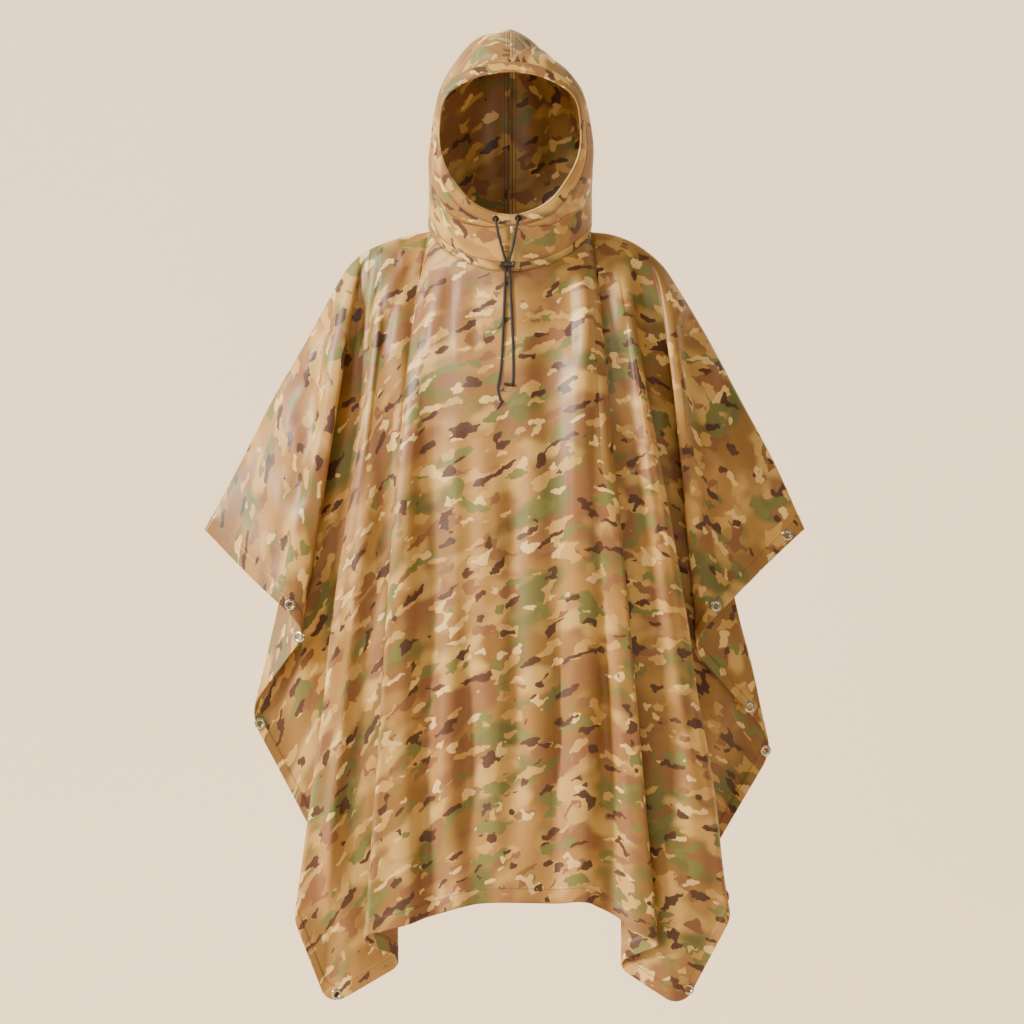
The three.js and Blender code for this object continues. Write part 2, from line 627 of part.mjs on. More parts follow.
function hoodGeometry(sign) {
  const grid = hoodGrid();
  const facing = facings(grid, -1);
  facing.forEach((row, r) => {
    row[HOOD_COLUMNS].setX(0).normalize();
    row[0] = frontFacing(r / HOOD_ROWS);
  });
  facing[0] = grid[0].map((_, c) => neckFacing((Math.PI * c) / HOOD_COLUMNS));
  facing[HOOD_ROWS].fill(frontFacing(1));
  const side = (way) => grid.map((row, r) => row.map((point, c) => {
    const moved = point.clone().addScaledVector(facing[r][c], (way * WALL) / 2);
    moved.x = Math.max(moved.x, SEAM / 2) * sign;
    return moved;
  }));
  return wallGeometry(side(1), side(-1));
}

// One free end of the drawcord, an eight-sided tube along its route.
function cordGeometry({ route, knot }) {
  const points = route.map(vector);
  const section = new THREE.Shape();
  for (let i = 0; i < CORD.sides; i += 1) {
    const angle = (2 * Math.PI * i) / CORD.sides;
    const place = [(CORD.diameter / 2) * Math.cos(angle), (CORD.diameter / 2) * Math.sin(angle)];
    if (i === 0) section.moveTo(...place);
    else section.lineTo(...place);
  }
  const reach = KNOT.height / 2 + SEAM;
  const last = points.at(-1);
  const towards = vector(knot).sub(last);
  points.push(last.clone().addScaledVector(towards, 1 - reach / towards.length()));
  const extrudePath = smoothCurve(points);
  return new THREE.ExtrudeGeometry(section, { steps: CORD.steps, bevelEnabled: false, extrudePath });
}

// A tight overhand knot with its tail, one piece.
function knotGeometry({ knot, tail }) {
  const centre = vector(knot);
  const ball = new THREE.SphereGeometry(1, 12, 8);
  ball.scale(KNOT.width / 2, KNOT.height / 2, KNOT.height / 2);
  ball.translate(centre.x, centre.y, centre.z);
  const way = vector(tail).sub(centre);
  const stem = new THREE.CylinderGeometry(KNOT.tail / 2, KNOT.tail / 2, way.length(), CORD.sides);
  const upright = new THREE.Vector3(0, 1, 0);
  const turn = new THREE.Quaternion().setFromUnitVectors(upright, way.clone().normalize());
  stem.applyQuaternion(turn);
  const middle = centre.clone().addScaledVector(way, 0.5);
  stem.translate(middle.x, middle.y, middle.z);
  return toGeometry(toSolid(ball).add(toSolid(stem)));
}

// An eyelet of the tunnel, let into its cloth, with its hole facing forward.
function cordEyeletGeometry({ eyelet: [x, z], route }, clearance = 0) {
  const outer = CORD_EYELET.outer + clearance;
  const hole = clearance > 0 ? 0 : CORD_EYELET.hole;
  const front = CORD_EYELET.front + clearance;
  const back = CORD_EYELET.back - clearance;
  const profile = [[hole, back], [outer, back], [outer, front - 0.8], [outer - 0.9, front], [hole, front]];
  const points = profile.map(([r, height]) => new THREE.Vector2(r, height));
  if (hole > 0) points.push(points[0].clone());
  const geometry = new THREE.LatheGeometry(points, CORD_EYELET.facets);
  geometry.scale(1, -1, 1);
  geometry.translate(x, route[0][1], z);
  return facingOutOf(geometry);
}

function facingOutOf(geometry) {
  const bare = geometry.clone();
  bare.deleteAttribute('normal');
  bare.deleteAttribute('uv');
  const merged = mergeVertices(bare, 1e-4);
  const position = merged.attributes.position;
  const vertices = Array.from({ length: position.count }, (_, i) => (
    new THREE.Vector3().fromBufferAttribute(position, i)));
  return facingOut(vertices, Array.from(merged.index.array));
}

// Cord lock: a barrel across the chest with a cap at each end and a hole for each cord.
function lockGeometry() {
  const half = LOCK.length / 2;
  const radius = LOCK.height / 2;
  const waist = radius - LOCK.waist;
  const profile = [
    [0, -half], [waist, -half], [radius, -half + 1],
    [radius, -half + LOCK.cap], [waist, -half + LOCK.cap + 0.6],
    [waist, half - LOCK.cap - 0.6], [radius, half - LOCK.cap], [radius, half - 1], [waist, half], [0, half],
  ].map(([r, x]) => new THREE.Vector2(r, x));
  const barrel = new THREE.LatheGeometry(profile, 16);
  barrel.rotateZ(-Math.PI / 2);
  barrel.scale(1, LOCK.depth / LOCK.height, 1);
  barrel.translate(...LOCK.centre);
  let solid = toSolid(facingOutOf(barrel));
  for (const { route } of CORD_ENDS) {
    const inside = route.find(([, , z]) => z === -40);
    const hole = new THREE.CylinderGeometry(LOCK.hole, LOCK.hole, LOCK.depth * 2, 12);
    hole.rotateX(Math.PI / 2);
    hole.scale(1, LOCK.slot, 1);
    hole.translate(inside[0], inside[1], LOCK.centre[2]);
    solid = solid.subtract(toSolid(hole));
  }
  return toGeometry(solid);
}

const group = new THREE.Group();

function add(name, geometry, material) {
  const mesh = new THREE.Mesh(geometry, material);
  mesh.name = name;
  group.add(mesh);
}

const panels = {
  front: { lines: panelLines(FRONT, -1), fore: -1 },
  back: { lines: panelLines(BACK, 1), fore: 1 },
};
const bandSpace = toSolid(bandGeometry(SEAM));
for (const [name, { lines, fore }] of Object.entries(panels)) {
  let solid = toSolid(panelGeometry(lines, fore)).subtract(bandSpace);
  for (const place of RING_PLACES.filter(({ panel }) => panel === name)) {
    solid = solid.subtract(toSolid(ringGeometry(ringPlace(lines, place, fore), RING.clearance)));
  }
  add(`${name}_panel`, toGeometry(solid), cloth);
}
add('hood_left', hoodGeometry(-1), cloth);
add('hood_right', hoodGeometry(1), cloth);
let tunnel = toSolid(tunnelGeometry());
for (const end of CORD_ENDS) {
  tunnel = tunnel.subtract(toSolid(cordEyeletGeometry(end, SEAM)));
}
add('face_tunnel', toGeometry(tunnel), darkCloth);
add('neck_band', bandGeometry(), darkCloth);
for (const end of CORD_ENDS) {
  add(`cord_eyelet_${end.name}`, cordEyeletGeometry(end), ringMaterial);
  add(`drawcord_${end.name}`, cordGeometry(end), cordMaterial);
  add(`knot_${end.name}`, knotGeometry(end), cordMaterial);
}
add('cord_lock', lockGeometry(), lockMaterial);
RING_PLACES.forEach((place, i) => {
  const { lines, fore } = panels[place.panel];
  add(`ring_eyelet_${i + 1}`, ringGeometry(ringPlace(lines, place, fore)), ringMaterial);
});

export default group;
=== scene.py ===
import math
from collections import namedtuple

import bmesh
import bpy
import numpy as np
from bpy.props import FloatProperty, PointerProperty
from mathutils import Matrix, Vector, noise


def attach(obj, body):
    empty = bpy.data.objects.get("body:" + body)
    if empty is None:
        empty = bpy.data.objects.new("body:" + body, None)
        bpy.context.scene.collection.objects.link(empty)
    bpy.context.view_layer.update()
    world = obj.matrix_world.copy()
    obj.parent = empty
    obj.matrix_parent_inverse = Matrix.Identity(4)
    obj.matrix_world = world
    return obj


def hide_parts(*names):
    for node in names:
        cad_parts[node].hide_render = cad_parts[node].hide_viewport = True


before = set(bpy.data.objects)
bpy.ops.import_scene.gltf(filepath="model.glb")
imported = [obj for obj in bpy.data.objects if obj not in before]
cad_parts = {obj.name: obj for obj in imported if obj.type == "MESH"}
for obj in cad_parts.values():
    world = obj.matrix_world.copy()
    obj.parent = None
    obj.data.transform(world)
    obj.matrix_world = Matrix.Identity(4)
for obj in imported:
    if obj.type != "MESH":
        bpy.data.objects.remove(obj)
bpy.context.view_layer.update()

bl_info = {
    "name": "Rain Poncho",
    "version": (1, 0, 0),
    "blender": (4, 5, 0),
    "location": "View3D > Sidebar > Poncho",
    "description": "Rain poncho with a hood, in the hollow form that it has when it is worn",
    "category": "Object",
}

# Tables and section sizes are in millimetres, and every mesh is made in metres.
MM = 0.001

# The neck hole, how far the cloth turns over at its edges, and the band above it.
NECK_HALF_WIDTH, NECK_FRONT, NECK_BACK = 124, 95, 78
NECK_FRONT_Z, NECK_SIDE_Z, NECK_BACK_Z = -50, 17, 26
NECK_EASE = 1.5
NECK_TURN_OUT, NECK_TURN_DOWN = 2, 5
RIDGE_TURN_ALONG, RIDGE_TURN_DOWN = 7, 1.8
SEAM = 0.3
BAND_HEIGHT, BAND_LEAN, BAND_WALL = 13, 0.2, 2.6

# Shoulder and arm line of each side: out from the middle, and up.
RIDGE = {
    "left": [
        (124, 17), (170, 7), (217, -11), (249, -36), (272, -73), (310, -143), (372, -251),
        (423, -352), (473, -445),
    ],
    "right": [
        (124, 17), (163, 11), (202, -7), (236, -35), (257, -66), (295, -128), (357, -243),
        (411, -344), (456, -444),
    ],
}
ARM_START = 0.25

# Fold lines of a panel. Each leaves the neck (at is in degrees) or the shoulder line (at is a
# share of it), passes the chest and ends at the hem. soft is the length of its rounding.
Fold = namedtuple("Fold", "name seam at chest hem soft")
FRONT = [
    Fold("sleeve_l", "left", 0.90, (-297, -36, -172), (-411, -30, -507), 40),
    Fold("crest_l", "left", 0.83, (-279, -70, -188), (-342, -76, -567), 22),
    Fold("under_l", "left", 0.77, (-254, -76, -222), (-313, -68, -604), 24),
    Fold("outer_l", "left", 0.68, (-294, -28, -245), (-404, -26, -727), 38),
    Fold("valley_l", "left", 0.59, (-216, -66, -280), (-276, -24, -969), 24),
    Fold("edge_l", "left", 0.50, (-229, -116, -259), (-333, -112, -1026), 24),
    Fold("corner_l", "left", 0.30, (-197, -126, -282), (-278, -122, -1172), 30),
    Fold("tuck_l", "left", 0.07, (-157, -117, -290), (-158, -106, -1102), 24),
    Fold("pleat_l", "neck", -90, (-168, -135, -290), (-236, -150, -1062), 24),
    Fold("wave_1", "neck", -74, (-146, -139, -259), (-181, -155, -1048), 30),
    Fold("wave_2", "neck", -56, (-124, -134, -243), (-127, -139, -1032), 24),
    Fold("wave_3", "neck", -32, (-65, -143, -243), (-62, -155, -1011), 34),
    Fold("wave_4", "neck", -10, (-22, -140, -243), (-20, -145, -1008), 24),
    Fold("wave_5", "neck", 9, (19, -143, -243), (19, -153, -1008), 30),
    Fold("wave_6", "neck", 32, (65, -138, -243), (70, -141, -1011), 24),
    Fold("wave_7", "neck", 52, (104, -139, -243), (115, -152, -1005), 28),
    Fold("wave_8", "neck", 66, (126, -132, -243), (149, -135, -1023), 16),
    Fold("wave_9", "neck", 79, (143, -136, -259), (192, -153, -1054), 28),
    Fold("pleat_r", "neck", 90, (159, -132, -312), (236, -148, -1069), 24),
    Fold("tuck_r", "right", 0.06, (148, -114, -305), (157, -105, -1105), 24),
    Fold("corner_r", "right", 0.16, (186, -121, -290), (264, -120, -1173), 30),
    Fold("edge_r", "right", 0.28, (216, -112, -240), (341, -112, -1026), 24),
    Fold("valley_r", "right", 0.47, (203, -66, -282), (298, -22, -969), 24),
    Fold("outer_r", "right", 0.64, (285, -28, -243), (411, -26, -774), 38),
    Fold("under_r", "right", 0.76, (244, -76, -212), (279, -68, -626), 24),
    Fold("crest_r", "right", 0.83, (264, -76, -200), (309, -82, -580), 22),
    Fold("sleeve_r", "right", 0.90, (279, -38, -166), (381, -32, -510), 40),
]
BACK = [
    Fold("sleeve_l", "left", 0.90, (-297, 36, -170), (-408, 28, -500), 40),
    Fold("crest_l", "left", 0.83, (-277, 68, -184), (-345, 72, -552), 22),
    Fold("under_l", "left", 0.77, (-252, 70, -216), (-312, 64, -588), 24),
    Fold("outer_l", "left", 0.68, (-288, 28, -240), (-385, 26, -700), 38),
    Fold("valley_l", "left", 0.59, (-214, 66, -275), (-262, 18, -930), 24),
    Fold("edge_l", "left", 0.50, (-227, 112, -255), (-312, 110, -985), 24),
    Fold("corner_l", "left", 0.30, (-196, 121, -280), (-258, 118, -1125), 30),
    Fold("tuck_l", "left", 0.07, (-158, 112, -285), (-166, 104, -1038), 24),
    Fold("pleat_l", "neck", -90, (-168, 129, -285), (-226, 142, -1015), 24),
    Fold("wave_1", "neck", -114, (-130, 134, -242), (-165, 149, -985), 34),
    Fold("wave_2", "neck", -136, (-86, 128, -238), (-105, 134, -962), 26),
    Fold("wave_3", "neck", -160, (-40, 134, -236), (-48, 151, -945), 34),
    Fold("wave_4", "neck", 178, (5, 129, -236), (8, 136, -942), 26),
    Fold("wave_5", "neck", 158, (48, 134, -236), (62, 151, -948), 34),
    Fold("wave_6", "neck", 135, (90, 128, -238), (118, 134, -966), 26),
    Fold("wave_7", "neck", 113, (131, 133, -242), (172, 148, -988), 34),
    Fold("pleat_r", "neck", 90, (162, 127, -290), (228, 140, -1020), 24),
    Fold("tuck_r", "right", 0.07, (150, 110, -288), (168, 102, -1042), 24),
    Fold("corner_r", "right", 0.30, (188, 118, -282), (254, 116, -1128), 30),
    Fold("edge_r", "right", 0.50, (218, 109, -250), (306, 108, -990), 24),
    Fold("valley_r", "right", 0.59, (204, 64, -276), (270, 16, -935), 24),
    Fold("outer_r", "right", 0.68, (280, 28, -240), (388, 26, -730), 38),
    Fold("under_r", "right", 0.77, (243, 70, -210), (278, 64, -608), 24),
    Fold("crest_r", "right", 0.83, (262, 72, -198), (310, 78, -568), 22),
    Fold("sleeve_r", "right", 0.90, (278, 36, -165), (382, 30, -500), 40),
]
ROUNDING_LIMIT = 0.46

# Flat cut of a panel: half its width at the shoulder line and at the hem, its length, and where
# the fold lines end along its side edge (from the shoulder line) and its hem (from the middle).
CUT_SHOULDER, CUT_HEM, CUT_LENGTH = 725, 520, 1040
SIDE_ENDS = {"sleeve": 100, "crest": 213, "under": 265, "outer": 438, "valley": 738, "edge": 869}
HEM_ENDS = {"corner": 520, "tuck": 374, "pleat": 270}

# The hood: the tunnel's face edge and seam by stations from the chin to the forehead, then the
# hood's widest line and back seam by ribs from the collar to the forehead.
FACE = [
    ((0, -113, 36), (0, -111, 18)), ((54, -112, 54), (63, -106, 38)),
    ((85, -109, 90), (99, -99, 79)), ((104, -106, 129), (115, -92, 123)),
    ((107, -104, 175), (114, -88, 176)), ((97, -103, 215), (105, -88, 224)),
    ((60, -104, 241), (66, -94, 256)), ((0, -105, 253), (0, -97, 270)),
]
HOOD_RIBS = [
    ((127, 0, 30), (82, 39)), ((127, -2, 52), (93, 68)), ((127, -4, 74), (102, 98)),
    ((126, -6, 96), (108, 128)), ((125, -8, 124), (113, 160)), ((121, -11, 158), (114, 196)),
    ((116, -15, 195), (106, 240)), ((103, -22, 240), (74, 292)), ((74, -30, 280), (10, 333)),
    ((37, -60, 298), (-45, 309)), ((2.5, -95.5, 272), (-93, 274)),
]
THROAT_SHARE = 0.2
ROUND = 0.5523

# Free ends of the drawcord: the centre of the eyelet (x, z), the route, the knot and its tail.
CORD_ENDS = {
    "left": {
        "eyelet": (-22, 29),
        "route": [
            (-22, -113.4, 29), (-22, -116.6, 29), (-21.7, -120.4, 26.6), (-20.6, -121.4, 20.5),
            (-18, -118.4, 7), (-14.2, -113.8, -8), (-10.2, -109.4, -22), (-7.2, -106, -32),
            (-6.5, -105, -40), (-6.7, -103.4, -49), (-7.2, -101.6, -58), (-7.6, -103.4, -68),
            (-8.2, -108.4, -83), (-9, -114.6, -103), (-10, -121.2, -127), (-11.2, -128, -156),
            (-12.6, -134.4, -184), (-14.4, -138.6, -205), (-17, -141.2, -220),
            (-18.4, -142.6, -231), (-16.6, -143.8, -241), (-14.8, -144.4, -246),
        ],
        "knot": (-12.8, -145.2, -251),
        "tail": (-20.5, -146.6, -263.5),
    },
    "right": {
        "eyelet": (12, 30),
        "route": [
            (12, -114.2, 30), (12, -117.4, 30), (11.7, -121.2, 27.6), (10.8, -122.2, 21.5),
            (8.4, -119.2, 8), (5.4, -114.6, -7), (2, -110.2, -21), (-0.6, -106.6, -31.4),
            (-1.1, -105, -40), (-0.9, -103.4, -49), (-0.4, -101.8, -58), (0.1, -103.6, -68),
            (0.8, -108.8, -84), (1.8, -115, -104), (3, -121.6, -128), (4.2, -128.4, -157),
            (4.9, -134.6, -184), (5, -138.2, -201), (4.6, -140.8, -217),
        ],
        "knot": (3.4, -142.6, -223.5),
        "tail": (-9.4, -143, -222.5),
    },
}
CORD_DIAMETER = 4
KNOT_HEIGHT, KNOT_TAIL = 7.4, 3.8
LOCK_CENTRE = (-3.8, -105, -39.5)
LOCK_LENGTH, LOCK_HEIGHT, LOCK_DEPTH, LOCK_CAP = 22.5, 9.5, 12, 3.6

# Ring eyelets of the hem: the panel, the fold line before each, and the share of the way to the
# next line.
RING_OUTER, RING_HOLE, RING_TUBE, RING_COLLAR, RING_INSET = 8.5, 4, 5.2, 1, 12.5
RING_PLACES = [
    ("front", "crest_l", 0.12), ("front", "under_l", 0.14), ("front", "outer_l", 0.12),
    ("front", "corner_l", 0.12), ("front", "corner_r", 0.12), ("front", "edge_r", 0.2),
    ("front", "valley_r", 0.88), ("front", "outer_r", 0.3), ("front", "crest_r", 0.1),
    ("front", "sleeve_r", 0.7), ("back", "crest_l", 0.2), ("back", "outer_l", 0.14),
    ("back", "corner_l", 0.12), ("back", "corner_r", 0.12), ("back", "outer_r", 0.35),
    ("back", "crest_r", 0.2),
]

ARM_SHARES = (0, 0.08, 0.25, 0.5, 0.75, 1)
ROLL_START = 0.96
PLEAT_OUT = 236


def vec(*values):
    return np.array(values, dtype=float)


def unit(v):
    v = np.asarray(v, dtype=float)
    return v / np.linalg.norm(v, axis=-1, keepdims=True)


def catmull(points, shares, closed=False):
    """Points of a centripetal Catmull-Rom curve, at even shares of its parameter."""
    p = np.asarray(points, dtype=float)
    n = len(p)
    if closed:
        ring = [p[(i + k) % n] for k in (-1, 0, 1, 2) for i in range(n)]
        spans = np.array(ring).reshape(4, n, 3)
        place = (np.asarray(shares) % 1) * n
    else:
        p = np.vstack([2 * p[0] - p[1], p, 2 * p[-1] - p[-2]])
        spans = np.array([p[k : k + n - 1] for k in range(4)])
        place = np.clip(np.asarray(shares), 0, 1) * (n - 1)
    index = np.minimum(place.astype(int), spans.shape[1] - 1)
    t = (place - index)[:, None]
    a, b, c, d = (spans[k][index] for k in range(4))
    ab, bc, cd = (
        np.maximum(np.sqrt(np.linalg.norm(v - u, axis=1)), 1e-6)[:, None]
        for u, v in ((a, b), (b, c), (c, d))
    )
    start = ((b - a) / ab - (c - a) / (ab + bc) + (c - b) / bc) * bc
    end = ((c - b) / bc - (d - b) / (bc + cd) + (d - c) / cd) * bc
    return (
        b + start * t + (3 * (c - b) - 2 * start - end) * t**2
        + (2 * (b - c) + start + end) * t**3
    )


class Line:
    """A smooth curve that is read by its length."""

    def __init__(self, points, divisions=600):
        self.points = catmull(points, np.linspace(0, 1, divisions + 1))
        steps = np.linalg.norm(np.diff(self.points, axis=0), axis=1)
        self.reach = np.concatenate([[0], np.cumsum(steps)])
        self.length = self.reach[-1]

    def at(self, distances):
        axes = [np.interp(distances, self.reach, self.points[:, k]) for k in range(3)]
        return np.stack(axes, axis=-1)


def neck_point(angle):
    ahead = math.cos(angle)
    reach = NECK_FRONT if ahead > 0 else NECK_BACK
    end = NECK_FRONT_Z if ahead > 0 else NECK_BACK_Z
    dip = abs(ahead) ** NECK_EASE
    return vec(
        NECK_HALF_WIDTH * math.sin(angle), -reach * ahead,
        NECK_SIDE_Z + (end - NECK_SIDE_Z) * dip,
    )


def neck_facing(angle):
    reach = NECK_FRONT if math.cos(angle) > 0 else NECK_BACK
    return unit(vec(math.sin(angle) / NECK_HALF_WIDTH, -math.cos(angle) / reach, 0))


def band_point(angle, height):
    return neck_point(angle) + neck_facing(angle) * BAND_LEAN * height + vec(0, 0, height)


def ridge_line(side):
    sign = -1 if side == "left" else 1
    return Line([(sign * out, 0, up) for out, up in RIDGE[side]])


RIDGE_LINES = {side: ridge_line(side) for side in RIDGE}


def ridge_at(side, share):
    return RIDGE_LINES[side].at(share * RIDGE_LINES[side].length)


def ridge_facing(side, share):
    along = ridge_at(side, min(1, share + 0.002)) - ridge_at(side, max(0, share - 0.002))
    facing = unit(vec(-along[2], 0, along[0]))
    return -facing if facing[2] < 0 else facing


def seam_place(seam, at):
    """Place on a panel's top edge: -1 to 1 along the neck, and past that along the shoulders."""
    if seam == "neck":
        return at / 90 if abs(at) <= 90 else math.copysign(2 - abs(at) / 90, at)
    return -1 - at if seam == "left" else 1 + at


def seam_point(place, fore):
    """Point of a panel's top edge and the way that the cloth faces there."""
    if abs(place) <= 1:
        angle = math.radians(90 * place if fore < 0 else math.copysign(180, place) - 90 * place)
        return neck_point(angle) - vec(0, 0, SEAM), neck_facing(angle)
    side, share = "left" if place < 0 else "right", (abs(place) - 1) * ARM_START
    point = ridge_at(side, share)
    point[1] = fore * SEAM / 2
    return point, ridge_facing(side, share)


ClothLine = namedtuple("ClothLine", "name line turn soft place top end")


def cut_side(along):
    """Point of the flat cut on its side edge, at a distance below the shoulder line."""
    return vec(CUT_SHOULDER + (CUT_HEM - CUT_SHOULDER) * along / CUT_LENGTH, along)


def cut_ends(fold):
    """Where a fold line starts and ends on the flat cut of its panel."""
    kind = fold.name.rsplit("_", 1)[0]
    sign = -1 if fold.hem[0] < 0 else 1
    if fold.seam == "neck":
        angle = math.radians(fold.at)
        top = vec(NECK_HALF_WIDTH * math.sin(angle), NECK_FRONT * abs(math.cos(angle)))
    else:
        out = NECK_HALF_WIDTH + (CUT_SHOULDER - NECK_HALF_WIDTH) * fold.at * ARM_START
        top = vec(sign * out, 0)
    if kind in SIDE_ENDS:
        end = cut_side(SIDE_ENDS[kind]) * (sign, 1)
    else:
        inner = HEM_ENDS["pleat"] * abs(fold.hem[0]) / PLEAT_OUT
        end = vec(sign * HEM_ENDS.get(kind, inner), CUT_LENGTH)
    return top, end


def arm_lines(side, fore):
    """The arm line, and the line beside it where the cloth has rolled over to this panel."""
    sign = -1 if side == "left" else 1
    ridge, roll = [], []
    for share in ARM_SHARES:
        on_arm = ARM_START + share * (1 - ARM_START)
        point = ridge_at(side, on_arm)
        point[1] = fore * SEAM / 2
        ridge.append(point)
        beside = point - ridge_facing(side, on_arm) * RIDGE_TURN_DOWN
        beside[1] = fore * RIDGE_TURN_ALONG
        roll.append(beside)
    roll[0] = seam_point(sign * (1 + ROLL_START), fore)[0]
    start = vec(sign * (NECK_HALF_WIDTH + (CUT_SHOULDER - NECK_HALF_WIDTH) * ARM_START), 0)
    tip, inset = vec(sign * CUT_SHOULDER, 0), vec(0, RIDGE_TURN_ALONG)
    turn = RIDGE_TURN_ALONG
    return (
        ClothLine("ridge_" + side[0], Line(ridge), turn, 0, sign * 2, start, tip),
        ClothLine(
            "roll_" + side[0], Line(roll), turn, 4, sign * (1 + ROLL_START), start + inset,
            tip + inset,
        ),
    )


def cloth_lines(folds, fore):
    """All lines of a panel from its left edge to its right one."""
    inner = []
    for fold in folds:
        place = seam_place(fold.seam, fold.at)
        start = seam_point(place, fore)[0]
        turn = vec(0, fore * RIDGE_TURN_ALONG, -RIDGE_TURN_DOWN)
        if fold.seam == "neck":
            down = neck_facing(math.radians(fold.at)) * NECK_TURN_OUT - vec(0, 0, NECK_TURN_DOWN)
            turn = down + turn * (abs(fold.at) == 90)
        line = Line([start, start + turn, fold.chest, fold.hem])
        top, end = cut_ends(fold)
        inner.append(
            ClothLine(fold.name, line, np.linalg.norm(turn), fold.soft, place, top, end)
        )
    return [*arm_lines("left", fore), *inner, *arm_lines("right", fore)[::-1]]

# Finer steps of the cloth's grids.
ROWS = 96
ARC_STEPS = 6
SPAN_STEP = 17
SEAM_FADE = 80


# What parts the two halves of the hood, which are sewn close, in mm.
SEWN_GAP = 0.04


class Cloth:
    """A sheet: its middle surface, the way it faces, its place in the flat cut, and its wall."""

    def __init__(self, points, facing, flat, wall, edge, columns=None, side=0):
        self.points, self.facing, self.flat, self.wall = points, facing, flat, wall
        self.edge, self.columns, self.side = edge, columns or {}, side

    def sides(self):
        """Points of the outer and the inner side. A half of the hood stays off the middle."""
        half = self.facing * (self.wall / 2)[:, :, None]
        pair = [self.points + half, self.points - half]
        if self.side:
            for points in pair:
                points[:, :, 0] = self.side * np.maximum(self.side * points[:, :, 0], SEWN_GAP / 2)
        return pair


def normals(grid):
    down = np.gradient(grid, axis=0)
    across = np.gradient(grid, axis=1)
    return unit(np.cross(down, across) + 1e-12)


def panel_reaches(line, hem):
    """Distances along a line of all rows: the turn at the seam, the cloth, and the hem."""
    length, turn = line.line.length, line.turn
    shares = np.concatenate([[0, 0.004, 0.01], np.linspace(0.018, 1, ROWS)])
    body = turn + shares * (length - hem - 5 - turn)
    edge = length - np.concatenate([[hem + 1.5, hem, hem - 1.5], hem * np.array(HEM_PARTS)])
    return np.concatenate([[0, turn / 2], body, edge])


HEM_PARTS = (0.7, 0.45, 0.22, 0.08, 0)


def rounded(before, point, after, soft):
    """Circular arc over a fold line, from one neighbouring span to the other, for all rows."""
    spans = [before - point, after - point]
    lengths = [np.linalg.norm(span[:, :3], axis=1, keepdims=True) for span in spans]
    reach = np.minimum(soft, ROUNDING_LIMIT * np.minimum(*lengths))
    ways = [span / np.maximum(length, 1e-6) for span, length in zip(spans, lengths)]
    cosine = np.clip((ways[0] * ways[1])[:, :3].sum(axis=1, keepdims=True), -1, 1)
    pull = np.sqrt((1 - cosine) / 2)
    start, end = (point + way * reach for way in ways)
    arc = []
    for t in np.linspace(0, 1, ARC_STEPS + 1):
        weights = ((1 - t) ** 2, 2 * pull * t * (1 - t), t**2)
        total = start * weights[0] + point * weights[1] + end * weights[2]
        arc.append(total / (weights[0] + weights[1] + weights[2]))
    return arc


def ridge_share(side, point):
    """Share of a ridge at the height of a point."""
    line = RIDGE_LINES[side]
    return np.interp(-point[2], -line.points[:, 2], line.reach / line.length)


def panel_cloth(folds, fore, size):
    hem = size.hem_width / MM
    lines = cloth_lines(folds, fore)
    packed = []
    for line in lines:
        reach = panel_reaches(line, hem)
        flat = line.top + (line.end - line.top) * (reach / line.line.length)[:, None]
        place = np.full((len(reach), 1), line.place)
        packed.append(np.hstack([line.line.at(reach), flat, place]))
    columns, places = [], {}
    for i, line in enumerate(lines):
        arc = [packed[i]]
        if 0 < i < len(lines) - 1:
            arc = rounded(packed[i - 1], packed[i], packed[i + 1], line.soft)
        if columns:
            last = columns[-1]
            gap = np.linalg.norm((arc[0] - last)[:, :3], axis=1).max()
            parts = int(np.clip(math.ceil(gap / SPAN_STEP), 1, 12))
            columns += [last + (arc[0] - last) * k / parts for k in range(1, parts)]
        places[line.name] = len(columns) + len(arc) // 2
        columns += arc
    grid = np.stack(columns, axis=1)
    points, flat = grid[:, :, :3], grid[:, :, 3:5]
    top = [seam_point(place, fore) for place in grid[0, :, 5]]
    reach = panel_reaches(lines[len(lines) // 2], hem)
    fade = np.clip(1 - reach / SEAM_FADE, 0, 1) ** 2
    points += (np.array([point for point, _ in top]) - points[0]) * fade[:, None, None]
    facing = -fore * normals(points)
    facing[0] = [way for _, way in top]
    for column, side in ((0, "left"), (-1, "right")):
        for r, point in enumerate(points[:, column]):
            facing[r, column] = ridge_facing(side, ridge_share(side, point))
    from_edge = lines[0].line.length - panel_reaches(lines[0], hem)
    edge = np.repeat(from_edge[:, None], points.shape[1], axis=1)
    wall = np.where(edge < hem - 0.1, size.hem_wall / MM, size.wall / MM)
    flat = flat * (1, -fore)
    return Cloth(points, facing, flat, wall, edge, places)


def ring_place(folds, fore, hem, after, share):
    """Centre of a ring eyelet in the hem, and the way that the cloth faces there."""
    lines = cloth_lines(folds, fore)
    first = [line.name for line in lines].index(after)
    pair = lines[first : first + 2]
    a, b = (line.line.at(line.line.length - RING_INSET) for line in pair)
    c, d = (line.line.at(line.line.length) for line in pair)
    point = a + (b - a) * share
    down = c + (d - c) * share - point
    return point, unit(np.cross(down, b - a)) * fore


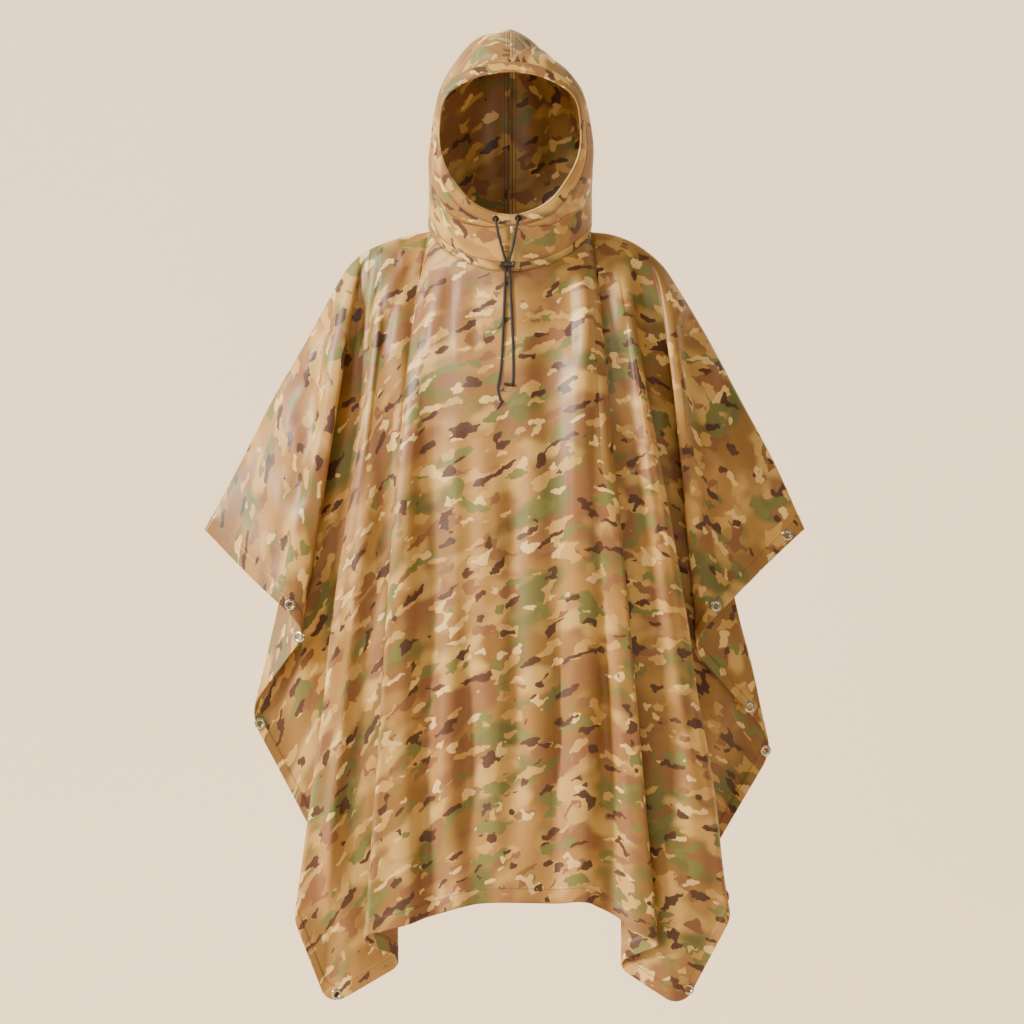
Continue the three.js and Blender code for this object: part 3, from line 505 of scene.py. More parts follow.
# Creases and soft ridges, as seen from the front or from behind: the piece, the fold lines that
# they lie between, how wide and how high they are (below zero for a trough), and their path in x
# and z. Names that end in l and r lie on the left and the right.
Crease = namedtuple("Crease", "piece first last width height path")
CREASES = [
    Crease("front", "pleat_l", "wave_4", 7, -4.5, [(-112, -475), (-122, -680), (-128, -910), (-130, -1000)]),
    Crease("front", "pleat_l", "wave_4", 20, 7, [(-88, -300), (-90, -560), (-97, -800), (-100, -1000)]),
    Crease("front", "pleat_l", "wave_4", 18, -6, [(-62, -260), (-60, -480), (-66, -740), (-62, -1000)]),
    Crease("front", "wave_2", "wave_7", 22, 6, [(-30, -380), (-26, -640), (-28, -990)]),
    Crease("front", "wave_2", "wave_7", 18, -5, [(8, -340), (6, -600), (2, -990)]),
    Crease("front", "wave_3", "wave_8", 20, 5, [(42, -300), (46, -620), (44, -990)]),
    Crease("front", "wave_4", "pleat_r", 6, -4, [(79, -540), (72, -800), (69, -990)]),
    Crease("front", "wave_4", "pleat_r", 18, 6, [(110, -250), (112, -560), (120, -990)]),
    Crease("front", "wave_5", "pleat_r", 7, -5.5, [(132, -440), (141, -680), (148, -860), (152, -1010)]),
    Crease("front", "wave_5", "pleat_r", 12, 4, [(150, -420), (166, -700), (184, -1010)]),
    Crease("front", "roll_l", "wave_4", 8, -4, [(-133, -6), (-158, -52), (-184, -120), (-204, -190)]),
    Crease("front", "tuck_l", "wave_4", 7, 3.5, [(-120, -20), (-143, -72), (-163, -135), (-170, -200)]),
    Crease("front", "pleat_l", "wave_4", 7, -3.5, [(-112, -30), (-132, -90), (-146, -160), (-150, -240)]),
    Crease("front", "pleat_l", "wave_4", 7, 3, [(-98, -42), (-112, -100), (-122, -170)]),
    Crease("front", "pleat_l", "wave_4", 7, -3, [(-82, -50), (-92, -110), (-98, -190)]),
    Crease("front", "wave_1", "wave_5", 8, -2, [(-50, -62), (-54, -120), (-55, -180)]),
    Crease("front", "wave_3", "pleat_r", 8, -2.5, [(84, -52), (94, -110), (97, -190)]),
    Crease("front", "wave_3", "pleat_r", 7, 3, [(101, -40), (112, -95), (117, -180)]),
    Crease("front", "wave_5", "pleat_r", 7, -3, [(113, -28), (124, -80), (130, -160)]),
    Crease("front", "roll_l", "corner_l", 9, 4, [(-140, 10), (-195, -12), (-240, -50)]),
    Crease("front", "roll_l", "corner_l", 8, -4, [(-136, 2), (-180, -40), (-226, -96), (-243, -160)]),
    Crease("front", "corner_r", "roll_r", 9, 4, [(140, 10), (190, -10), (228, -44)]),
    Crease("front", "corner_r", "roll_r", 8, -4, [(136, 4), (168, -20), (200, -62), (216, -110)]),
    Crease("front", "sleeve_l", "crest_l", 14, -6, [(-280, -120), (-300, -260), (-330, -400), (-365, -520)]),
    Crease("front", "roll_l", "sleeve_l", 18, 6, [(-300, -150), (-345, -270), (-395, -400)]),
    Crease("front", "sleeve_r", "roll_r", 18, 6, [(290, -140), (335, -260), (380, -390)]),
    Crease("front", "crest_r", "sleeve_r", 14, -6, [(262, -130), (285, -280), (318, -430), (345, -530)]),
    Crease("front", "tuck_r", "edge_r", 24, -7, [(172, -180), (196, -420), (230, -700), (262, -1000)]),
    Crease("front", "tuck_r", "edge_r", 10, 5, [(196, -260), (232, -520), (276, -820), (300, -1040)]),
    Crease("front", "edge_l", "tuck_l", 22, -6.5, [(-174, -200), (-198, -480), (-226, -760), (-246, -1000)]),
    Crease("front", "edge_l", "tuck_l", 10, 5, [(-205, -320), (-238, -600), (-272, -900), (-285, -1060)]),
    Crease("front", "valley_l", "edge_l", 14, 6, [(-228, -360), (-262, -600), (-296, -840)]),
    Crease("front", "edge_r", "valley_r", 14, 6, [(222, -360), (268, -620), (312, -860)]),
    Crease("front", "outer_l", "valley_l", 16, 7, [(-262, -330), (-306, -520), (-330, -720)]),
    Crease("front", "valley_r", "outer_r", 16, 7, [(250, -330), (300, -540), (340, -740)]),
    Crease("back", "wave_1", "wave_7", 18, 6, [(-132, -260), (-140, -560), (-150, -940)]),
    Crease("back", "wave_1", "wave_7", 8, -5, [(-104, -380), (-108, -640), (-118, -930)]),
    Crease("back", "wave_1", "wave_7", 20, 6, [(-64, -220), (-70, -520), (-66, -930)]),
    Crease("back", "wave_1", "wave_7", 16, -6, [(-22, -300), (-26, -600), (-20, -930)]),
    Crease("back", "wave_1", "wave_7", 20, 6, [(20, -340), (26, -640), (24, -930)]),
    Crease("back", "wave_1", "wave_7", 7, -4.5, [(58, -420), (66, -700), (78, -930)]),
    Crease("back", "wave_1", "wave_7", 18, 5, [(96, -240), (104, -560), (112, -930)]),
    Crease("back", "wave_1", "pleat_r", 8, -5, [(134, -330), (146, -640), (158, -950)]),
    Crease("back", "roll_l", "wave_3", 8, -4, [(-128, 0), (-150, -60), (-172, -140), (-184, -230)]),
    Crease("back", "tuck_l", "wave_3", 8, 3.5, [(-112, 4), (-130, -60), (-142, -150)]),
    Crease("back", "pleat_l", "wave_4", 8, -3, [(-90, 8), (-104, -60), (-110, -150)]),
    Crease("back", "wave_2", "wave_5", 9, -2.5, [(-40, 16), (-44, -60), (-42, -140)]),
    Crease("back", "wave_4", "pleat_r", 8, -3, [(74, 12), (88, -60), (94, -160)]),
    Crease("back", "wave_5", "tuck_r", 8, 3.5, [(108, 4), (126, -60), (138, -150)]),
    Crease("back", "wave_5", "roll_r", 8, -4, [(130, 0), (154, -50), (178, -130), (190, -220)]),
    Crease("back", "tuck_l", "edge_l", 10, 5, [(-190, -300), (-224, -620), (-262, -980)]),
    Crease("back", "edge_r", "tuck_r", 10, 5, [(192, -300), (222, -620), (258, -980)]),
    Crease("back", "roll_l", "sleeve_l", 18, 6, [(-300, -150), (-345, -270), (-395, -400)]),
    Crease("back", "sleeve_r", "roll_r", 18, 6, [(290, -140), (335, -260), (380, -390)]),
    Crease("hood", "", "", 6, -2.5, [(112, 150), (114, 110), (108, 70), (92, 40)]),
    Crease("hood", "", "", 7, 2.5, [(100, 20), (74, 0), (52, -14)]),
    Crease("hood", "", "", 5, -2.5, [(70, 34), (52, 22), (34, 4), (22, -16)]),
    Crease("hood", "", "", 5, 2, [(86, 46), (66, 26), (48, 2), (40, -16)]),
    Crease("hood", "", "", 5, -2.5, [(104, 60), (84, 32), (68, 8), (60, -8)]),
    Crease("hood", "", "", 5, 2, [(118, 80), (104, 48), (88, 20), (80, 2)]),
    Crease("hood", "", "", 5, -2, [(30, 22), (20, 8), (12, -10)]),
]
# How far creases may move the cloth out and in, in mm, what share of a crease's height is used,
# and on the hood only in front of a depth.
MOST_OUT, MOST_IN = 15.0, 22.0
CREASE_STATIONS, CREASE_TAPER, CREASE_UNEVEN = 48, 0.6, 0.35
HOOD_FRONT_Y = -20
# Lengths over which the cloth comes free below its top seam, beside its side seams and above the
# hood's face seam, in mm.
TOP_EASE, TOP_POWER, SIDE_EASE, FACE_EASE = 120, 0.7, 22, 30
CREASE_SHARE, HOOD_SHARE = 2.9, 0.55
SLACK_HEIGHT, SLACK_WIDTH, SLACK_LENGTH = 26.0, 60, 460
RIPPLE_HEIGHT, RIPPLE_SIZE = 1.4, 30


def crease_cloth(cloth, piece, share, seed):
    """Move a cloth by its creases, by slack waves along its fall and by small ripples."""
    points, flat = cloth.points, cloth.flat
    shift = np.zeros(points.shape[:2])
    for crease in CREASES:
        if crease.piece != piece:
            continue
        path = [(x, 0, z) for x, z in crease.path]
        route = catmull(path, np.linspace(0, 1, CREASE_STATIONS))[:, [0, 2]]
        ends = sorted(cloth.columns.get(name, place) for name, place in
                      ((crease.first, 0), (crease.last, points.shape[1] - 1)))
        part = points[:, ends[0] : ends[1] + 1]
        seen = np.abs(part[:, :, 0]) if piece == "hood" else part[:, :, 0]
        apart = np.stack([seen, part[:, :, 2]], axis=-1)[:, :, None] - route
        far = np.linalg.norm(apart, axis=3)
        nearest = far.argmin(axis=2)
        reach = nearest / (len(route) - 1)
        taper = np.sin(math.pi * np.clip(reach, 0.02, 0.98)) ** CREASE_TAPER
        uneven = 1 + CREASE_UNEVEN * np.sin(9 * reach + 7 * crease.width + seed)
        near = np.exp(-((far.min(axis=2) / crease.width) ** 2))
        lift = CREASE_SHARE * crease.height * taper * uneven * near
        if piece == "hood":
            lift = np.where(part[:, :, 1] < HOOD_FRONT_Y, lift * HOOD_SHARE, 0)
        shift[:, ends[0] : ends[1] + 1] += lift
    for r in range(points.shape[0]):
        for c in range(points.shape[1]):
            u, v = flat[r, c]
            slack = noise.noise(Vector((u / SLACK_WIDTH, v / SLACK_LENGTH, seed)))
            ripple = noise.noise(Vector((u / RIPPLE_SIZE, v / (2 * RIPPLE_SIZE), seed + 5)))
            shift[r, c] += SLACK_HEIGHT * slack + RIPPLE_HEIGHT * ripple
    limit = np.where(shift > 0, MOST_OUT, MOST_IN)
    shift = limit * np.tanh(shift / limit)
    cloth.points = points + cloth.facing * (shift * share * seam_hold(cloth) * fold_hold(cloth))[:, :, None]


def seam_hold(cloth):
    """How free the cloth is to move: not at its seams, and more the farther it hangs from them."""
    rows, columns = cloth.points.shape[:2]
    steps = np.linalg.norm(np.diff(cloth.points, axis=0), axis=2).mean(axis=1)
    down = np.concatenate([[0], np.cumsum(steps)])
    hold = (np.clip(down / TOP_EASE, 0, 1) ** TOP_POWER)[:, None] * np.ones(columns)
    across = np.linalg.norm(np.diff(cloth.points, axis=1), axis=2)
    from_left = np.concatenate([np.zeros((rows, 1)), np.cumsum(across, axis=1)], axis=1)
    nearest = np.minimum(from_left, from_left[:, -1:] - from_left)
    hold = hold * np.clip(nearest / SIDE_EASE, 0, 1)
    if cloth.side:
        hold = hold * np.clip((down[-1] - down) / FACE_EASE, 0, 1)[:, None]
    return hold


def fold_hold(cloth):
    """How free the cloth is to move beside a fold: less where the fold turns it tightly."""
    across = np.linalg.norm(np.diff(cloth.points, axis=1), axis=2)
    turn = np.linalg.norm(np.diff(cloth.facing, axis=1), axis=2)
    bend = np.pad(turn / np.maximum(across, 0.5), ((0, 0), (0, 1)), mode="edge")
    reach = range(-FOLD_REACH, FOLD_REACH + 1)
    tightest = np.max([np.roll(bend, step, axis=1) for step in reach], axis=0)
    hold = 1 / (1 + (tightest * FOLD_EASE) ** 2)
    return np.mean([np.roll(hold, step, axis=1) for step in reach], axis=0)


# Columns beside a fold that it holds, and the ease of the cloth there, in mm.
FOLD_REACH, FOLD_EASE = 4, 28


def add_object(mesh_bm, name, material, smooth=True):
    """A finished piece, at the origin with its place in its mesh, riding on the only body."""
    mesh = bpy.data.meshes.new(name)
    for face in mesh_bm.faces:
        face.smooth = smooth
    mesh_bm.to_mesh(mesh)
    mesh_bm.free()
    obj = bpy.data.objects.new(name, mesh)
    bpy.context.scene.collection.objects.link(obj)
    for entry in material if isinstance(material, (list, tuple)) else [material]:
        mesh.materials.append(entry)
    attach(obj, "root")
    return obj


def cloth_mesh(cloth):
    """The wall of a cloth: two sides from its middle surface, joined round the rim.

    The first UV map holds the place in the flat cut and the second one the distance along the
    edge and from the edge, all in metres.
    """
    rows, columns = cloth.points.shape[:2]
    bm = bmesh.new()
    cut = bm.loops.layers.uv.new("cut")
    edge = bm.loops.layers.uv.new("edge")
    bmesh.ops.create_grid(bm, x_segments=columns - 1, y_segments=rows - 1, size=1)
    along = np.linalg.norm(np.diff(cloth.points[-1], axis=0), axis=1)
    along = np.concatenate([[0], np.cumsum(along)])
    first, faces = list(bm.verts), list(bm.faces)
    copy = bmesh.ops.duplicate(bm, geom=first + list(bm.edges) + faces)
    others = [item for item in copy["geom"] if isinstance(item, bmesh.types.BMFace)]
    outer, inner = (side.reshape(-1, 3) * MM for side in cloth.sides())
    spot = {}
    for i, vert in enumerate(first):
        twin = copy["vert_map"][vert]
        vert.co, twin.co = outer[i], inner[i]
        spot[vert] = spot[twin] = divmod(i, columns)
    middle = faces[len(faces) // 2]
    middle.normal_update()
    turned = middle.normal.dot(Vector(cloth.facing[spot[middle.verts[0]]])) < 0
    bmesh.ops.reverse_faces(bm, faces=faces if turned else others)
    rim = [item for item in bm.edges if item.is_boundary]
    bmesh.ops.bridge_loops(bm, edges=rim)
    for face in bm.faces:
        for loop in face.loops:
            r, c = spot[loop.vert]
            loop[cut].uv = cloth.flat[r, c] * MM
            loop[edge].uv = (along[c] * MM, cloth.edge[r, c] * MM)
    bmesh.ops.recalc_face_normals(bm, faces=list(bm.faces))
    return bm


def tube_mesh(points, flat, close_rows=False, close_columns=True):
    """A closed skin through rings of points, with the place of each in metres as its UV."""
    if close_rows:
        points = np.concatenate([points, points[:1]])
    if close_columns:
        points = np.concatenate([points, points[:, :1]], axis=1)
    rows, columns = points.shape[:2]
    bm = bmesh.new()
    cut = bm.loops.layers.uv.new("cut")
    edge = bm.loops.layers.uv.new("edge")
    bmesh.ops.create_grid(bm, x_segments=columns - 1, y_segments=rows - 1, size=1)
    bm.verts.index_update()
    for face in bm.faces:
        for loop in face.loops:
            place = flat[divmod(loop.vert.index, columns)] * MM
            loop[cut].uv = place
            loop[edge].uv = (place[0], abs(place[1]))
    for vert, place in zip(bm.verts, points.reshape(-1, 3) * MM):
        vert.co = place
    bmesh.ops.remove_doubles(bm, verts=list(bm.verts), dist=1e-7)
    holes = [item for item in bm.edges if item.is_boundary]
    if holes:
        bmesh.ops.holes_fill(bm, edges=holes, sides=0)
    bmesh.ops.recalc_face_normals(bm, faces=list(bm.faces))
    return bm

HOOD_ROWS, HOOD_COLUMNS = 75, 48
TUNNEL_STATIONS = 192
TUNNEL_WALL, TUNNEL_SEAM_WALL = 5.2, 2


def face_curve(edge, shares):
    half = [vec(*station[edge]) for station in FACE]
    mirrored = [point * (-1, 1, 1) for point in half[-2:0:-1]]
    return catmull(half + mirrored, shares, closed=True)


def tunnel_station(share, gap=SEAM):
    """Face edge, seam edge and facing of the tunnel, at a share of its way round the face."""
    face = face_curve(0, [share])[0]
    seam = face_curve(1, [share])[0]
    across = unit(face - seam)
    seam = seam + across * gap
    ahead, behind = face_curve(1, [share + 0.001, share - 0.001])
    facing = unit(np.cross(across, ahead - behind))
    if facing @ vec(seam[0], seam[1] * 2, seam[2] - 145) < 0:
        facing = -facing
    return face, seam, facing


def tunnel_share(level):
    return max(0, (level - THROAT_SHARE) / (1 - THROAT_SHARE)) / 2


def hood_front(level):
    if level > THROAT_SHARE:
        return face_curve(1, [tunnel_share(level)])[0]
    start = band_point(0, BAND_HEIGHT + SEAM / 2)
    return start + (vec(*FACE[0][1]) - start) * level / THROAT_SHARE


def bezier(a, b, c, d, t):
    t = np.asarray(t)[:, None]
    return a * (1 - t) ** 3 + 3 * b * t * (1 - t) ** 2 + 3 * c * t**2 * (1 - t) + d * t**3


def hood_row(level, shares):
    """One row of the +X half, from the front edge over the side to the back seam."""
    front = hood_front(level)
    side = catmull([rib[0] for rib in HOOD_RIBS], [level])[0]
    back = catmull([(0, *rib[1]) for rib in HOOD_RIBS], [level])[0]
    facing = tunnel_station(tunnel_share(level))[2]
    rows = []
    for end, t in ((front, 1 - shares[shares < 0.5] * 2), (back, shares[shares >= 0.5] * 2 - 1)):
        from_side = side + vec(0, ROUND * (end[1] - side[1]), (end[2] - side[2]) / 3)
        if end is front:
            lead = (side - end) * (1, 1, 0)
            from_end = end + ROUND * (lead - facing * (lead @ facing))
        else:
            from_end = end + vec(ROUND * (side[0] - end[0]), 0, (side[2] - end[2]) / 3)
        rows.append(bezier(side, from_side, from_end, end, t))
    return np.vstack(rows)


# How far the seam between the halves sinks in, in mm.
SEAM_GROOVE = 1.1


def hood_cloth(sign, size):
    shares = np.linspace(0, 1, HOOD_COLUMNS + 1)
    levels = np.linspace(0, 1, HOOD_ROWS + 1)
    band = np.array([band_point(math.pi * share, BAND_HEIGHT + SEAM / 2) for share in shares])
    fit = band - hood_row(0, shares)
    rows = [hood_row(level, shares) + fit * max(0, 1 - level / THROAT_SHARE) ** 2 for level in levels]
    points = np.stack(rows)
    points[:, :, 0] = np.maximum(points[:, :, 0], SEWN_GAP / 2)
    points[:, -1, 0] = SEWN_GAP / 2
    facing = -normals(points)
    for r, level in enumerate(levels):
        facing[r, -1] = unit(facing[r, -1] * (0, 1, 1))
        facing[r, 0] = tunnel_station(tunnel_share(level))[2]
    facing[0] = [neck_facing(math.pi * share) for share in shares]
    facing[-1] = facing[-1, 0]
    groove = np.array([0.1, 0.5, 1]) * SEAM_GROOVE
    points[3:, -3:] -= facing[3:, -3:] * groove[:, None]
    steps = np.linalg.norm(np.diff(points, axis=1), axis=2)
    around = np.concatenate([np.zeros((len(levels), 1)), np.cumsum(steps, axis=1)], axis=1)
    middle = HOOD_COLUMNS // 2
    rise = np.linalg.norm(np.diff(points[:, middle], axis=0), axis=1)
    up = np.concatenate([[0], np.cumsum(rise)])
    flat = np.stack([
        sign * (around - around[:, middle : middle + 1]), np.repeat(up[:, None], len(shares), axis=1)
    ], axis=-1)
    seam = around[:, -1:] - around
    wall = np.full(points.shape[:2], size.wall / MM)
    mirror = vec(sign, 1, 1)
    return Cloth(points * mirror, facing * mirror, flat, wall, seam, side=sign)


def tunnel_rings():
    """Rings of the tunnel, thin at its seam, round at the face and gathered near the chin."""
    parts = np.array([0, 0.05, 0.14, 0.3, 0.5, 0.7, 0.86, 0.95, 1])
    heights = TUNNEL_WALL / 2 * np.sqrt(np.maximum(0, 1 - np.abs(2 * parts - 1) ** 3))
    heights = np.where(parts < 0.1, np.maximum(heights, TUNNEL_SEAM_WALL / 2), heights)
    section = list(zip(parts, heights)) + list(zip(parts[-2::-1], -heights[-2::-1]))
    rings, flat = [], []
    reach = 0
    last = None
    for i in range(TUNNEL_STATIONS):
        share = i / TUNNEL_STATIONS
        face, seam, facing = tunnel_station(share)
        reach += 0 if last is None else np.linalg.norm(seam - last)
        last = seam
        chin = 0.35 + 0.65 * math.exp(-((min(share, 1 - share) / 0.12) ** 2))
        gather = noise.noise(Vector((reach / 7, 3.7, 0.4))) * 0.8 * chin
        ring = []
        for part, height in section:
            swell = gather * math.sin(math.pi * min(1, part * 1.15)) ** 2
            ring.append(seam + (face - seam) * part + facing * (height + swell))
        rings.append(ring)
        flat.append([(reach, (part * TUNNEL_WIDTH) * (1 if k < len(parts) else -1))
                     for k, (part, height) in enumerate(section)])
    return np.array(rings), np.array(flat)


TUNNEL_WIDTH = 18
BAND_STATIONS = 160


def band_rings():
    """Rings of the neck band from its lower edge up, a folded strip with soft edges."""
    low, high = SEAM / 2, BAND_HEIGHT - SEAM / 2
    parts = np.array([0, 0.06, 0.2, 0.5, 0.8, 0.94, 1])
    half = BAND_WALL / 2 * np.array([0.5, 0.85, 1, 0.94, 1, 0.85, 0.5])
    section = list(zip(parts, half)) + list(zip(parts[::-1], -half[::-1]))
    rings, flat = [], []
    for i in range(BAND_STATIONS):
        angle = 2 * math.pi * i / BAND_STATIONS
        facing = neck_facing(angle)
        rings.append([
            band_point(angle, low + (high - low) * part) + facing * out for part, out in section
        ])
        flat.append([(angle * 105, part * BAND_HEIGHT) for part, _ in section])
    return np.array(rings), np.array(flat)


def tube_rings(route, radius, sides):
    """Rings round a route, kept from twisting, with the length along it as their place."""
    route = np.asarray(route, dtype=float)
    ways = unit(np.gradient(route, axis=0))
    across = unit(np.cross(ways[0], vec(0.3, 1, 0.1)))
    reach = np.concatenate([[0], np.cumsum(np.linalg.norm(np.diff(route, axis=0), axis=1))])
    radius = np.broadcast_to(radius, len(route))
    rings, flat = [], []
    for point, way, size, far in zip(route, ways, radius, reach):
        across = unit(across - way * (across @ way))
        beside = np.cross(way, across)
        angles = np.linspace(0, 2 * math.pi, sides, endpoint=False)
        rings.append([point + size * (across * math.cos(a) + beside * math.sin(a)) for a in angles])
        flat.append([(far, a * size) for a in angles] + [(far, 2 * math.pi * size)])
    return np.array(rings), np.array(flat)


def lathe(profile, sides, centre, facing):
    """A turned ring: its closed profile of radius and height, spun round the way it faces."""
    bm = bmesh.new()
    verts = [bm.verts.new((r * MM, 0, h * MM)) for r, h in profile]
    edges = [bm.edges.new((a, b)) for a, b in zip(verts, verts[1:] + verts[:1])]
    bmesh.ops.spin(
        bm, geom=verts + edges, cent=(0, 0, 0), axis=(0, 0, 1), angle=2 * math.pi, steps=sides,
        use_merge=True,
    )
    bmesh.ops.remove_doubles(bm, verts=list(bm.verts), dist=1e-7)
    turn = Vector((0, 0, 1)).rotation_difference(Vector(facing)).to_matrix().to_4x4()
    place = Matrix.Translation(Vector(centre) * MM) @ turn
    bmesh.ops.transform(bm, matrix=place, verts=list(bm.verts))
    bmesh.ops.recalc_face_normals(bm, faces=list(bm.faces))
    return bm


def ring_profile():
    """Section of a ring eyelet: a tube with a rolled collar on both sides of the hem."""
    inside = 1.5 + SEAM
    outside = inside + RING_COLLAR
    side = [
        (RING_TUBE, inside), (RING_OUTER, inside), (RING_OUTER, inside + 0.35),
        (RING_OUTER - 0.9, outside - 0.25), (RING_OUTER - 2.1, outside),
        (RING_HOLE + 1.3, outside - 0.05), (RING_HOLE + 0.5, outside - 0.4),
        (RING_HOLE, outside - 1.2),
    ]
    return [(r, -h) for r, h in side] + side[::-1]


def cord_eyelet_profile():
    return [
        (2.6, -1.4), (4.9, -1.4), (5, 1.3), (4.6, 1.9), (3.9, 2.2), (3.1, 2.1), (2.7, 1.6),
    ]


def lock_mesh():
    """Barrel of the cord lock: capped at both ends, ribbed between, and solid where cords enter."""
    half, radius = LOCK_LENGTH / 2, LOCK_HEIGHT / 2
    profile = [(0.01, -half), (radius - 1.6, -half), (radius - 0.4, -half + 0.5), (radius, -half + 1.3)]
    profile += [(radius, -half + LOCK_CAP - 0.4), (radius - 0.9, -half + LOCK_CAP)]
    inner = half - LOCK_CAP - 0.6
    for i in range(13):
        x = -inner + 2 * inner * i / 12
        profile.append((radius - (0.7 if i % 2 else 1.0), x))
    profile += [(r, -x) for r, x in reversed(profile[:6])]
    bm = bmesh.new()
    verts = [bm.verts.new((0, r * MM, x * MM)) for r, x in profile]
    edges = [bm.edges.new(pair) for pair in zip(verts, verts[1:])]
    bmesh.ops.spin(
        bm, geom=verts + edges, cent=(0, 0, 0), axis=(0, 0, 1), angle=2 * math.pi, steps=40,
        use_merge=True,
    )
    bmesh.ops.remove_doubles(bm, verts=list(bm.verts), dist=5e-5)
    turn = Matrix.Rotation(math.pi / 2, 4, "Y")
    squash = Matrix.Diagonal((1, LOCK_DEPTH / LOCK_HEIGHT, 1, 1))
    place = Matrix.Translation(Vector(LOCK_CENTRE) * MM) @ squash @ turn
    bmesh.ops.transform(bm, matrix=place, verts=list(bm.verts))
    bmesh.ops.recalc_face_normals(bm, faces=list(bm.faces))
    return bm


def srgb(code):
    """Linear colour with alpha, from an sRGB hex code."""
    parts = [int(code[i : i + 2], 16) / 255 for i in (1, 3, 5)]
    return (*(c / 12.92 if c <= 0.04045 else ((c + 0.055) / 1.055) ** 2.4 for c in parts), 1)


def add_node(tree, kind, links=None, **settings):
    """A node with its settings. links give a socket's value, or the socket that feeds it."""
    item = tree.nodes.new(kind)
    for key, value in settings.items():
        setattr(item, key, value)
    for socket, source in (links or {}).items():
        if isinstance(source, bpy.types.NodeSocket):
            tree.links.new(source, item.inputs[socket])
        else:
            item.inputs[socket].default_value = source
    return item


def new_material(name):
    material = bpy.data.materials.new(name)
    material.use_nodes = True
    material.node_tree.nodes.clear()
    return material, material.node_tree


def finish_material(tree, shader):
    add_node(tree, "ShaderNodeOutputMaterial", {"Surface": shader.outputs[0]})


def scatter(tree, place, size, seed, low, high, stretch=1.0, detail=1.0, warp=None):
    """Mask of soft or sharp islands about size wide, in metres, and flatter by stretch."""
    mapped = add_node(
        tree, "ShaderNodeMapping", {"Vector": place, "Location": seed, "Scale": (1, stretch, 1)}
    )
    source = mapped.outputs[0]
    if warp is not None:
        moved = add_node(
            tree, "ShaderNodeVectorMath", {0: source, 1: warp}, operation="ADD"
        )
        source = moved.outputs[0]
    cloud = add_node(
        tree, "ShaderNodeTexNoise",
        {"Vector": source, "Scale": 1 / size, "Detail": detail, "Roughness": 0.45},
        noise_dimensions="2D",
    )
    mask = add_node(
        tree, "ShaderNodeMapRange",
        {"Value": cloud.outputs["Fac"], "From Min": low, "From Max": high},
        interpolation_type="SMOOTHSTEP",
    )
    return mask.outputs[0]


def blend_colour(tree, mask, under, over):
    mixed = add_node(tree, "ShaderNodeMix", {0: mask, 6: under, 7: over}, data_type="RGBA")
    return mixed.outputs[2]


def camouflage(tree, place):
    """Colour of the print: soft clouds of ground colour under leaning blotches and specks."""
    lean = add_node(tree, "ShaderNodeMapping", {"Vector": place, "Rotation": (0, 0, PRINT_LEAN)})
    lean = lean.outputs[0]
    jitter = add_node(
        tree, "ShaderNodeTexNoise", {"Vector": lean, "Scale": 1 / 0.014, "Detail": 1.5},
        noise_dimensions="2D",
    )
    centred = add_node(
        tree, "ShaderNodeVectorMath", {0: jitter.outputs["Color"], 1: (0.5, 0.5, 0.5)},
        operation="SUBTRACT",
    )
    warp = add_node(
        tree, "ShaderNodeVectorMath", {0: centred.outputs[0], 3: 0.022}, operation="SCALE"
    ).outputs[0]
    colour = srgb(GROUND)
    for width, seed, low, high, stretch, code in CLOUDS:
        mask = scatter(tree, lean, width, seed, low, high, stretch, 2)
        colour = blend_colour(tree, mask, colour, srgb(code))
    for width, seed, low, stretch, code in BLOBS:
        mask = scatter(tree, lean, width, seed, low, low + 0.015, stretch, 0.8, warp)
        colour = blend_colour(tree, mask, colour, srgb(code))
    return colour


PRINT_LEAN = 0.42
GROUND = "#9F763A"
# Clouds of the print: width in metres, place, where they start and are full, how flat, colour.
CLOUDS = [
    (0.2, (3.1, 1.7, 0), 0.42, 0.58, 1.3, "#84602A"),
    (0.13, (7.3, 4.1, 0), 0.53, 0.68, 1.5, "#62602E"),
    (0.12, (1.9, 8.7, 0), 0.51, 0.66, 1.5, "#815731"),
    (0.1, (5.5, 6.1, 0), 0.54, 0.7, 1.5, "#B9944F"),
]
# Blotches of the print: width in metres, place, where they start, how flat they are, colour.
BLOBS = [
    (0.056, (5.2, 3.3, 0), 0.66, 1.9, "#6C6A34"),
    (0.052, (2.6, 9.1, 0), 0.66, 1.9, "#7F5532"),
    (0.046, (8.8, 6.4, 0), 0.66, 2.0, "#B68E49"),
    (0.04, (4.4, 0.9, 0), 0.70, 1.9, "#D2B06C"),
    (0.042, (6.9, 2.2, 0), 0.685, 2.1, "#492B1A"),
]


def coated_nylon(name, lines):
    """Printed coated nylon, satin, with fine slack wrinkles and seams sewn at lines, in metres."""
    material, tree = new_material(name)
    place = add_node(tree, "ShaderNodeUVMap", uv_map="cut").outputs[0]
    edge = add_node(tree, "ShaderNodeUVMap", uv_map="edge").outputs[0]
    colour = camouflage(tree, place)
    split = add_node(tree, "ShaderNodeSeparateXYZ", {0: edge})
    mask = stitches(tree, split.outputs[0], split.outputs[1], lines)
    colour = blend_colour(tree, mask, colour, srgb("#5A4426"))
    wrinkle = add_node(
        tree, "ShaderNodeTexNoise", {"Vector": place, "Scale": 55.0, "Detail": 3.0},
        noise_dimensions="2D",
    )
    bump = add_node(
        tree, "ShaderNodeBump",
        {"Height": wrinkle.outputs["Fac"], "Strength": 0.35, "Distance": 0.0012},
    )
    shader = add_node(
        tree, "ShaderNodeBsdfPrincipled",
        {
            "Base Color": colour, "Roughness": 0.5, "IOR": 1.5, "Normal": bump.outputs[0],
            "Sheen Weight": 0.06, "Sheen Roughness": 0.4,
        },
    )
    finish_material(tree, shader)
    return material


